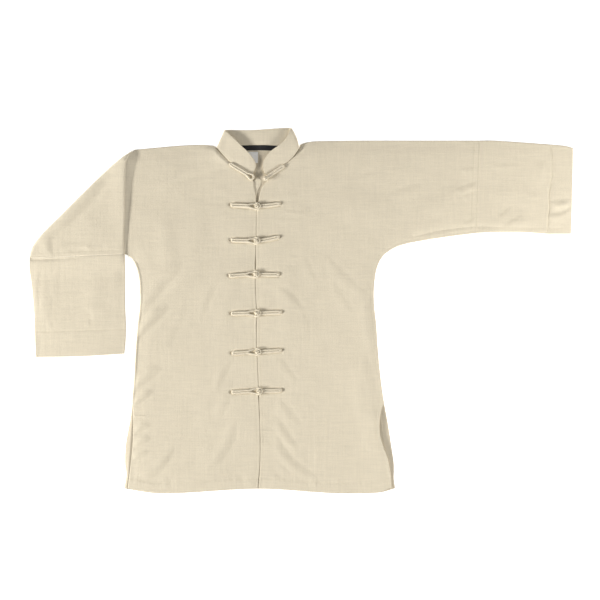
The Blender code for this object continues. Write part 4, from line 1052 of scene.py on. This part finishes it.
def smooth_stations():
    """The collar's stations, with smooth ones between them, about 3 mm apart."""
    def gap(change):
        return max(np.linalg.norm(change[:3]), np.linalg.norm(change[3:6]))

    rows = np.array(through(np.array(COLLAR, dtype=float), gap, 3.0, 3))
    rows[:, [2, 5]] = np.maximum(rows[:, [2, 5]], 1.2)
    return rows


# Points across the band: their distances from each of its edges, how many between, and the edges' overhang
BAND_NEAR = (0.0, 0.7, 1.7, 2.6, 3.5, 5.5)
BAND_MIDDLE = 7
BAND_TIP = 0.35


def band_surface():
    """The band's middle surface as a grid of points, its normals, and how near each is to a stitch line."""
    grid, stitch = [], []
    for seam_x, seam_y, seam_z, top_x, top_y, top_z, bow in smooth_stations():
        seam, top = np.array([seam_x, seam_y, seam_z]), np.array([top_x, top_y, top_z])
        length = np.linalg.norm(top - seam)
        near = np.array(BAND_NEAR) * min(1.0, length / 14.0)
        places = np.concatenate([near, np.linspace(near[-1], length - near[-1], BAND_MIDDLE + 2)[1:-1],
                                 length - near[::-1]])
        share = (places / length)[:, None]
        wave = np.array([noise.noise((seam_x / 26.0, seam_y / 26.0, place / 16.0)) for place in places])
        line = seam + (top - seam) * share + np.array([1.0, 0.0, 0.0]) * bow * 4.0 * share * (1.0 - share)
        line[:, 2] += 0.7 * wave * np.sin(math.pi * share[:, 0]) * (line[:, 2] > 3.0)
        grid.append(line)
        stitch.append(np.exp(-((np.minimum(places, length - places) - near[3]) / 0.8) ** 2))
    grid = np.array(grid)
    normal = np.cross(np.gradient(grid, axis=0), np.gradient(grid, axis=1))
    normal /= np.linalg.norm(normal, axis=2)[..., None]
    return grid, normal, np.array(stitch)


def make_collar(linen, thread):
    """The stand collar: a double band, folded over at both sides of the neck and stitched at both edges."""
    grid, normal, stitch = band_surface()
    rows, columns = grid.shape[:2]
    if normal[0, columns // 2, 2] < 0:
        normal = -normal
    puff = np.array([[noise.noise((i / 2.6, j / 9.0, 8.0)) for j in range(columns)] for i in range(rows)])
    edge = np.array([min(j, columns - 1 - j) for j in range(columns)])
    near_edge = np.exp(-((edge - 3.0) / 2.0) ** 2)
    half = 0.5 * BAND_WALL * np.where(edge == 0, 0.55, 1.0)[None, :] - 0.30 * stitch + 0.16 * puff * near_edge
    outer = grid + normal * half[..., None]
    inner = grid - normal * half[..., None]
    for side in (inner, outer):
        side[..., 2] = np.maximum(side[..., 2], FLOOR_GAP)
    for side, column, other in ((outer, 0, 1), (inner, 0, 1), (outer, -1, -2), (inner, -1, -2)):
        side[:, column] += unit(grid[:, column] - grid[:, other]) * BAND_TIP
    profile = np.concatenate([outer, inner[:, ::-1]], axis=1)
    width = profile.shape[1]
    faces = ring_faces(rows, width)
    for i in (0, rows - 1):
        first, last = i * width, (i + 1) * width - 1
        cap = [(first + j, first + j + 1, last - 1 - j, last - j) for j in range(columns - 1)]
        faces += cap if i else [face[::-1] for face in cap]
    item = make_object("collar_cloth", profile.reshape(-1, 3), faces, linen)
    stitches = collar_threads(grid, normal, thread)
    declare_cloth(item, "collar", "linen", 0.46, 0.043, None, ["front_left_cloth", "front_right_cloth"],
                  with_pieces=[stitches])


def collar_threads(grid, normal, material):
    """Stitches along both edges of the band, on both its sides."""
    points, faces = [], []
    for column in (3, grid.shape[1] - 4):
        for sign in (1.0, -1.0):
            line = grid[:, column] + sign * normal[:, column] * (0.5 * BAND_WALL - 0.16)
            line = resample(line, STITCH_PITCH)
            for start, step in zip(line[:-1], line[1:] - line[:-1]):
                if start[2] >= 0.4:
                    add_capsule(points, faces, start + 0.12 * step, start + 0.84 * step)
    return make_object("collar_stitches", points, faces, material, angle=80.0)


def add_capsule(points, faces, start, end, radius=STITCH_RADIUS):
    """A short thread between two points, thin at both ends."""
    ahead = end - start
    ahead = ahead / np.linalg.norm(ahead)
    guide = np.array([0.0, 0.0, 1.0]) if abs(ahead[2]) < 0.9 else np.array([1.0, 0.0, 0.0])
    side = np.cross(ahead, guide)
    side /= np.linalg.norm(side)
    over = np.cross(side, ahead)
    base, sides, rings = len(points), 5, ((0.0, 0.3), (0.25, 1.0), (0.75, 1.0), (1.0, 0.3))
    for along, size in rings:
        centre = start + (end - start) * along
        for k in range(sides):
            turn = 2 * math.pi * k / sides
            points.append(centre + radius * size * (math.cos(turn) * side + math.sin(turn) * over))
    faces += [(a, d, c, b) for a, b, c, d in ring_faces(len(rings), sides, base)]
    last = base + sides * (len(rings) - 1)
    faces += [tuple(range(base, base + sides)), tuple(range(last, last + sides))[::-1]]


def make_trim(tape_finish, label_finish, thread, label_thread):
    """The neck tape along the back of the neck, and the care label below it, both bare."""
    seam = [point for point in collar_seam(10, 15, -TAPE_CLEAR) if abs(point[0]) < TAPE_HALF_LENGTH]
    tape = join(seam[::-1], shifted(seam, -TAPE_WIDTH))

    def tape_top(xy):
        return TRIM_TOP + 0.12 * swell(xy, 91.0)

    rows = [Row(shifted(seam, -offset), 0.08, 3.0) for offset in (TAPE_STITCH, TAPE_WIDTH - TAPE_STITCH)]
    item = make_object("neck_tape_cloth", *shell(tape, tape_top, rows, [], TRIM_WALL, 2.0), tape_finish)
    stitches = threads("neck_tape_stitches", rows, tape_top, tape, thread, pitch=2.8, length=2.0, clear=1.0)
    declare_cloth(item, "neck_tape", "tape", 0.124, 0.012, None, ["back_cloth"], with_pieces=[stitches])
    low_x, high_x, low_y, high_y = LABEL_BOX
    corners = [(low_x, high_y), (low_x + 0.4, low_y), (high_x - 0.3, low_y + 0.3), (high_x, high_y)]
    label = join(*[curve(side) for side in zip(corners, corners[1:] + corners[:1])])

    def label_top(xy):
        down = ease((high_y - xy[:, 1]) / (high_y - low_y))
        return TRIM_TOP - 0.15 + 0.5 * down * (0.5 + 0.5 * np.sin(xy[:, 0] / 7.0 + 1.0))

    item = make_object("care_label_cloth", *shell(label, label_top, (), (), LABEL_WALL, 1.8), label_finish)
    rows = [Row(curve([(low_x + 1.0, high_y - 2.6), (high_x - 1.0, high_y - 2.6)]), 0.0, 1.0)]
    stitches = threads("care_label_stitches", rows, label_top, label, label_thread, pitch=2.8, length=2.0)
    declare_cloth(item, "care_label", "label", 0.026, 0.027, None, ["back_cloth"], with_pieces=[stitches])


def sweep(path, radius, sides=CORD_SIDES, closed=False, seed=0.0):
    """Points and faces of a cord along a path, slightly uneven in thickness."""
    path = np.array(path, dtype=float)
    count = len(path)
    if closed:
        ahead = np.roll(path, -1, axis=0) - np.roll(path, 1, axis=0)
    else:
        ahead = np.gradient(path, axis=0)
    ahead = unit(ahead)
    side = np.cross(ahead[0], [0.0, 0.0, 1.0])
    if np.linalg.norm(side) < 0.05:
        side = np.cross(ahead[0], [1.0, 0.0, 0.0])
    across = []
    for direction in ahead:
        side = side - direction * np.dot(side, direction)
        side /= np.linalg.norm(side)
        across.append(side)
    twist = 0.0
    if closed:
        first, last = across[0], across[-1] - ahead[0] * np.dot(across[-1], ahead[0])
        twist = math.atan2(np.dot(np.cross(last, first), ahead[0]), np.dot(last, first))
    points = []
    for i in range(count):
        size = radius * (1.0 + 0.07 * noise.noise((*(path[i] / 4.0), seed)[:3]))
        u, v = across[i], np.cross(across[i], ahead[i])
        for k in range(sides):
            turn = 2 * math.pi * k / sides + twist * i / count
            points.append(path[i] + size * (math.cos(turn) * u - math.sin(turn) * v))
    return points, ring_faces(count, sides, closed=True) if closed else tube_faces(count, sides)


def laid_on(path_xy, top, closed):
    """A cord's path in plan laid on the cloth: at its height, smoothed as a cord bridges small dips."""
    path_xy = np.array(path_xy, dtype=float)
    height = top(path_xy)
    for turn in range(10):
        before, after = np.roll(height, 1), np.roll(height, -1)
        if not closed:
            before[0], after[-1] = height[0], height[-1]
        mean = (before + height + after) / 3.0
        height = np.maximum(height, mean) if turn < 4 else mean
    return np.column_stack([path_xy, height + (CORD_RADIUS - CORD_SINK)])


def outer_turn(length):
    """Where the cord turns back at the outer end of a half."""
    return [(length - CORD_PITCH * (1.0 - math.sin(angle)), CORD_PITCH * math.cos(angle))
            for angle in map(math.radians, (40, 90, 140))]


def loop_plan(length, radius, spread, wobble):
    """A loop half in plan, along x to the ring's centre at 0: out, round the ring, back, round its end."""
    half = [(along - length, CORD_PITCH) for along in np.linspace(CORD_PITCH, length - radius - spread, 5)]
    half.append((-radius - 0.45 * spread, 0.5 * (CORD_PITCH + 0.85 * radius)))
    for degrees in (130, 108, 88, 70, 52, 34, 16):
        angle = math.radians(degrees)
        half.append((radius * math.cos(angle), radius * math.sin(angle)))
    turn = [(-x, -y) for x, y in outer_turn(length)]
    table = half + [(radius, 0.0)] + [(x, -y) for x, y in half[::-1]] + turn
    table = [(x, y + wobble * math.sin(x / 13.0 + wobble * 9.0)) for x, y in table]
    return resample(curve(table + table[:1], 1.2), 1.5)[:-1]


def placed(plan, origin, direction):
    """Plan points moved and turned: the plan's x runs along the direction."""
    across = np.array([-direction[1], direction[0]])
    return np.array([np.array(origin) + direction * x + across * y for x, y in plan])


def on_ball(radius, latitude, turn):
    flat = radius * math.cos(latitude)
    return flat * math.cos(turn), flat * math.sin(turn), radius * math.sin(latitude)


def knot_ball(centre, tilt):
    """A button knot: one cord that winds three times round a ball, over and under itself."""
    count = 190
    path = []
    for i in range(count):
        s = 2 * math.pi * i / count
        latitude = math.radians(58.0) * math.cos(4 * s)
        x, y, z = on_ball(KNOT_SPHERE + KNOT_WEAVE * math.sin(8 * s), latitude, 3 * s)
        path.append((x, y * math.cos(tilt) - z * math.sin(tilt), y * math.sin(tilt) + z * math.cos(tilt)))
    return sweep(np.array(path) + np.array(centre), KNOT_CORD, 10, closed=True, seed=tilt)


def inner_ball(centre):
    """The cord's hidden turns inside the knot, as a small ball."""
    rings, sides = 7, 14
    points = [np.array(centre) + on_ball(KNOT_SPHERE, math.pi * i / 8 - math.pi / 2, 2 * math.pi * k / sides)
              for i in range(1, rings + 1) for k in range(sides)]
    return points, tube_faces(rings, sides)


def knot_half_path(outer, neck, ball, top, seed):
    """The two cords of a knot half as one path: from the knot, out, round the outer end, and back."""
    outer, neck = np.array(outer, dtype=float), np.array(neck, dtype=float)
    run = outer - neck
    length = float(np.linalg.norm(run))
    half = [(along, CORD_PITCH) for along in np.linspace(4.0, length - CORD_PITCH, 6)]
    root = 0.9 * CORD_PITCH
    table = [(0.0, root)] + half + outer_turn(length) + [(x, -y) for x, y in half[::-1]] + [(0.0, -root)]
    table = [(x, y + 0.35 * math.sin(x / 11.0 + seed)) for x, y in table]
    path = laid_on(placed(resample(curve(table, 1.2), 1.5), neck, run / length), top, closed=False)
    into = np.array(ball, dtype=float)

    def lead(end):
        return [into + (end - into) * share + np.array([0, 0, 0.8 * math.sin(math.pi * share)])
                for share in (0.25, 0.6)]

    full = np.vstack([lead(path[0]), path, lead(path[-1])[::-1]])
    return resample(smooth_path(full), 1.5)


def smooth_path(path):
    """A smooth curve in space through a path's points."""
    path = np.array(path, dtype=float)
    for _ in range(3):
        middle = 0.25 * path[:-2] + 0.5 * path[1:-1] + 0.25 * path[2:]
        path = np.vstack([path[:1], middle, path[-1:]])
    return path


def tacks(path, count):
    """Small stitches that hold a cord down, over its outer flank."""
    points, faces = [], []
    for place in np.linspace(3, len(path) - 4, count).round().astype(int):
        ahead = path[place + 1] - path[place - 1]
        side = np.array([-ahead[1], ahead[0], 0.0])
        side /= np.linalg.norm(side)
        for sign in (1.0, -1.0):
            foot = path[place] + side * sign * (CORD_RADIUS + 0.7)
            foot[2] = frog_surface(foot[None, :2])[0] + 0.05
            grip = path[place] + side * sign * CORD_RADIUS * 0.93 + np.array([0.0, 0.0, -0.2])
            add_capsule(points, faces, foot, grip, 0.17)
    return points, faces


def frog_surface(xy):
    """The cloth under the frogs: whichever front is there."""
    return np.where(xy[:, 0] > 0.0, left_top(xy), right_top(xy))


def cord_piece(number, half, shape, cord):
    """A frog's loop or knot, in the place of its solid."""
    item = make_object(f"frog_{number}_{half}_cord", *shape, cord)
    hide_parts(f"frog_{number}_{half}")


def cord_stitches(number, half, path, count, thread):
    item = make_object(f"frog_{number}_{half}_stitches", *tacks(path, count), thread)


def loop_path(centre, outer, ring_radius, ring_spread, wobble, top):
    """The closed path of a loop half on the cloth, and its direction."""
    length = np.linalg.norm(centre - outer)
    ahead = (centre - outer) / length
    plan = placed(loop_plan(length, ring_radius, ring_spread, wobble), centre, ahead)
    return laid_on(plan, top, closed=True), ahead


def knot_shape(path, ball, seed, tilt):
    return merged(sweep(path, CORD_RADIUS, seed=seed), knot_ball(ball, tilt), inner_ball(ball))


def make_frog(number, frog, cord, thread):
    middle = opening_x(frog.centre_y)
    centre = np.array([middle, frog.centre_y])
    outer = np.array([frog.loop_x, frog.loop_y], dtype=float)
    path, ahead = loop_path(centre, outer, RING_RADIUS, RING_SPREAD, 0.25 + 0.1 * (number % 3), frog_surface)
    path[:, 2] += RING_LIFT * ease((np.dot(path[:, :2] - centre, ahead) + 4.0) / 8.0)
    cord_piece(number, "loop", sweep(path, CORD_RADIUS, closed=True, seed=number), cord)
    cord_stitches(number, "loop", path, 15, thread)
    ball = (middle, frog.centre_y, float(frog_surface(centre[None])[0]) + KNOT_CENTRE_LIFT)
    path = knot_half_path((frog.knot_x, frog.knot_y), (middle + NECK_REACH, frog.centre_y), ball,
                          frog_surface, number)
    cord_piece(number, "knot", knot_shape(path, ball, number + 0.5, 0.5 + 0.37 * number), cord)
    cord_stitches(number, "knot", path[6:-6], 12, thread)


def make_neck_frog(cord):
    """The open fastening at the collar: its loop and its knot lie beside each other below the band's ends."""
    base = level(NECK_SEAT)
    path, _ = loop_path(np.array(NECK_RING_CENTRE), np.array(NECK_LOOP_OUTER), NECK_RING_RADIUS,
                        NECK_RING_SPREAD, 0.3, base)
    cord_piece(1, "loop", sweep(path, CORD_RADIUS, closed=True, seed=1.0), cord)
    ball = (*NECK_KNOT_CENTRE, NECK_SEAT + KNOT_SPHERE + KNOT_CORD)
    path = knot_half_path(NECK_KNOT_OUTER, NECK_KNOT_INNER, ball, base, 1.0)
    cord_piece(1, "knot", knot_shape(path, ball, 1.5, 0.8), cord)


def make_frogs(cord, thread):
    make_neck_frog(cord)
    for number, frog in enumerate(FROGS, start=2):
        make_frog(number, frog, cord, thread)


def set_values(node, values):
    for socket, value in values.items():
        node.inputs[socket].default_value = value


def add_node(tree, kind, inputs, **settings):
    """A shader node with its settings, and each input either linked or set."""
    item = tree.nodes.new(kind)
    for key, value in settings.items():
        setattr(item, key, value)
    for key, value in inputs.items():
        if isinstance(value, bpy.types.NodeSocket):
            tree.links.new(value, item.inputs[key])
        else:
            item.inputs[key].default_value = value
    return item


def combined(tree, operation, first, second):
    """Two vectors multiplied or added."""
    return add_node(tree, "ShaderNodeVectorMath", {0: first, 1: second}, operation=operation).outputs[0]


def calculate(tree, operation, first, second=0.0):
    return add_node(tree, "ShaderNodeMath", {0: first, 1: second}, operation=operation).outputs[0]


def noise_value(tree, vector, sizes, detail=2.0, distortion=0.0):
    """Noise from about -1 to 1, with features of these sizes along x, y and z."""
    place = combined(tree, "MULTIPLY", vector, tuple(1 / size for size in sizes))
    texture = add_node(tree, "ShaderNodeTexNoise", {"Vector": place, "Scale": 1.0, "Detail": detail,
                                                    "Distortion": distortion})
    centred = calculate(tree, "SUBTRACT", texture.outputs["Fac"], 0.5)
    return calculate(tree, "MULTIPLY", centred, 3.0)


def ripples(tree, vector, operation, repeat):
    """Even ripples along x and along y."""
    place = combined(tree, "MULTIPLY", vector, (2 * math.pi / repeat,) * 3)
    parts = add_node(tree, "ShaderNodeSeparateXYZ", {0: place})
    return [calculate(tree, operation, parts.outputs[axis]) for axis in (0, 1)]


def rotated(tree, vector, degrees):
    return add_node(tree, "ShaderNodeVectorRotate", {"Vector": vector, "Angle": math.radians(degrees)},
                    rotation_type="Z_AXIS").outputs[0]


def weighted(tree, terms):
    """The sum of values, each times its weight."""
    total = None
    for value, weight in terms:
        part = calculate(tree, "MULTIPLY", value, weight)
        total = part if total is None else calculate(tree, "ADD", total, part)
    return total


def plain_weave(tree, vector, repeat, distort):
    """A plain weave: bumps like a checkerboard, with threads that wander a little."""
    place = combined(tree, "MULTIPLY", vector, (0.12, 0.12, 0.12))
    wander = add_node(tree, "ShaderNodeTexNoise", {"Vector": place, "Scale": 1.0, "Detail": 1.0})
    moved = combined(tree, "MULTIPLY", wander.outputs["Color"], (distort,) * 3)
    warp, weft = ripples(tree, combined(tree, "ADD", vector, moved), "COSINE", repeat)
    return calculate(tree, "MULTIPLY", warp, weft)


def bare_material(name, roughness, sheen, specular):
    """A material with an even surface, and its object coordinates in millimetres."""
    material = bpy.data.materials.new(name)
    material.use_nodes = True
    tree = material.node_tree
    shader = tree.nodes["Principled BSDF"]
    set_values(shader, {"Roughness": roughness, "Sheen Weight": sheen, "Sheen Roughness": 0.5,
                        "Specular IOR Level": specular})
    place = tree.nodes.new("ShaderNodeTexCoord").outputs["Object"]
    return material, combined(tree, "MULTIPLY", place, (1 / METRE,) * 3)


def finish_material(material, colour, tints, heights):
    """The colour made lighter and darker by weighted values, and a bump of weighted millimetres."""
    tree = material.node_tree
    shader = tree.nodes["Principled BSDF"]
    tone = add_node(tree, "ShaderNodeRGB", {})
    tone.outputs[0].default_value = (*colour, 1.0)
    factor = calculate(tree, "ADD", weighted(tree, tints), 1.0)
    varied = add_node(tree, "ShaderNodeVectorMath", {0: tone.outputs[0], "Scale": factor}, operation="SCALE")
    tree.links.new(varied.outputs[0], shader.inputs["Base Color"])
    height = weighted(tree, heights)
    bump = add_node(tree, "ShaderNodeBump", {"Height": height, "Distance": METRE, "Strength": 1.0})
    tree.links.new(bump.outputs["Normal"], shader.inputs["Normal"])
    return material


def linen_material(name, colour):
    """Slubby plain-woven linen: thick and thin threads both ways, and slight crumples."""
    material, place = bare_material(name, 0.9, 0.25, 0.25)
    tree = material.node_tree
    weft = noise_value(tree, place, (34.0, 1.5, 30.0))
    warp = noise_value(tree, place, (1.5, 44.0, 30.0))
    weft_slub = noise_value(tree, place, (60.0, 5.0, 30.0), 1.0)
    warp_slub = noise_value(tree, place, (5.5, 90.0, 30.0), 1.0)
    blotch = noise_value(tree, place, (26.0, 26.0, 26.0), 3.0)
    crumple = noise_value(tree, place, (7.0, 7.0, 7.0), 3.0, 0.6)
    weave = plain_weave(tree, place, 1.3, 1.6)
    tints = [(weft, 0.045), (warp, 0.040), (weft_slub, 0.028), (warp_slub, 0.024), (blotch, 0.014),
             (weave, 0.03)]
    heights = [(weave, 0.07), (weft, 0.06), (warp, 0.06), (weft_slub, 0.05), (warp_slub, 0.05),
               (crumple, 0.09)]
    return finish_material(material, colour, tints, heights)


def cord_material(name, colour):
    """The same cloth cut on the bias and sewn to a round cord."""
    material, place = bare_material(name, 0.88, 0.25, 0.25)
    tree = material.node_tree
    turned = rotated(tree, place, 42.0)
    one = noise_value(tree, turned, (6.0, 0.7, 0.7))
    two = noise_value(tree, turned, (0.7, 6.0, 0.7))
    blotch = noise_value(tree, place, (5.0, 5.0, 5.0))
    weave = plain_weave(tree, turned, 1.1, 0.8)
    return finish_material(material, colour, [(one, 0.05), (two, 0.05), (blotch, 0.03), (weave, 0.04)],
                           [(weave, 0.07), (one, 0.06), (two, 0.06), (blotch, 0.08)])


def thread_material(name, colour):
    """Twisted sewing thread."""
    material, place = bare_material(name, 0.7, 0.2, 0.3)
    twist = noise_value(material.node_tree, place, (0.35, 0.35, 0.35))
    return finish_material(material, colour, [(twist, 0.06)], [(twist, 0.04)])


def tape_material(name):
    """Black twill tape with fine slanted ribs."""
    material, place = bare_material(name, 0.62, 0.15, 0.35)
    tree = material.node_tree
    rib, _ = ripples(tree, rotated(tree, place, 32.0), "SINE", 0.9)
    lint = noise_value(tree, place, (1.1, 0.5, 1.0), 3.0)
    return finish_material(material, TAPE_COLOUR, [(rib, 0.25), (lint, 0.20)], [(rib, 0.07), (lint, 0.04)])


def label_material(name):
    """White woven satin with fine lines across."""
    material, place = bare_material(name, 0.45, 0.1, 0.5)
    tree = material.node_tree
    _, line = ripples(tree, place, "SINE", 0.6)
    thread = noise_value(tree, place, (5.0, 0.35, 1.0))
    return finish_material(material, LABEL_COLOUR, [(line, 0.015), (thread, 0.03)],
                           [(line, 0.015), (thread, 0.02)])


def area_light(name, place, aim, size, power):
    light = bpy.data.lights.new(name, "AREA")
    light.shape = "RECTANGLE"
    light.size, light.size_y = size
    light.energy = power
    light.color = LIGHT_COLOUR
    item = bpy.data.objects.new(name, light)
    item.location = place
    item.rotation_euler = (Vector(aim) - Vector(place)).to_track_quat("-Z", "Y").to_euler()
    bpy.context.scene.collection.objects.link(item)


def make_floor():
    """A plain white table top, which glows a little, so that shadows on it stay light."""
    mesh = bpy.data.meshes.new("floor")
    corners = [(x * FLOOR_REACH, y * FLOOR_REACH, 0) for x, y in ((-1, -1), (1, -1), (1, 1), (-1, 1))]
    mesh.from_pydata(corners, [], [(0, 1, 2, 3)])
    material = bpy.data.materials.new("floor")
    material.use_nodes = True
    shader = material.node_tree.nodes["Principled BSDF"]
    set_values(shader, {"Base Color": (0.96, 0.96, 0.96, 1.0), "Emission Color": (1.0, 1.0, 1.0, 1.0),
                        "Emission Strength": FLOOR_GLOW, "Roughness": 0.9, "Specular IOR Level": 0.1})
    mesh.materials.append(material)
    floor = bpy.data.objects.new("floor", mesh)
    bpy.context.scene.collection.objects.link(floor)


def make_stage():
    """The floor, a soft light on each side, soft light from above, and the camera straight down."""
    make_floor()
    for light in LIGHTS:
        area_light(*light)
    world = bpy.data.worlds.new("room")
    world.use_nodes = True
    set_values(world.node_tree.nodes["Background"], {"Color": (1.0, 0.99, 0.98, 1.0), "Strength": SKY_LIGHT})
    bpy.context.scene.world = world
    camera = bpy.data.cameras.new("camera")
    camera.lens = 85.0
    camera.sensor_width = 36.0
    item = bpy.data.objects.new("camera", camera)
    item.location = CAMERA_PLACE
    bpy.context.scene.collection.objects.link(item)
    bpy.context.scene.camera = item
    bpy.context.scene.view_settings.view_transform = "Standard"


def main():
    linen = linen_material("linen", LINEN)
    # A darker copy of the linen: painted shade for the back and the hidden sleeve layers
    linen_inside = linen_material("linen_inside", LINEN_PAINTED_SHADE)
    cord = cord_material("linen_cord", CORD_COLOUR)
    thread = thread_material("thread", THREAD_COLOUR)
    make_back(linen_inside, thread)
    make_fronts(linen, thread)
    make_lower_sleeves(linen, thread)
    make_turned(linen, linen_inside, thread)
    make_underlap(linen, thread)
    make_collar(linen, thread)
    make_trim(tape_material("tape"), label_material("label"),
              thread_material("tape_thread", TAPE_THREAD_COLOUR),
              thread_material("label_thread", LABEL_THREAD_COLOUR))
    make_frogs(cord, thread)
    make_stage()


main()
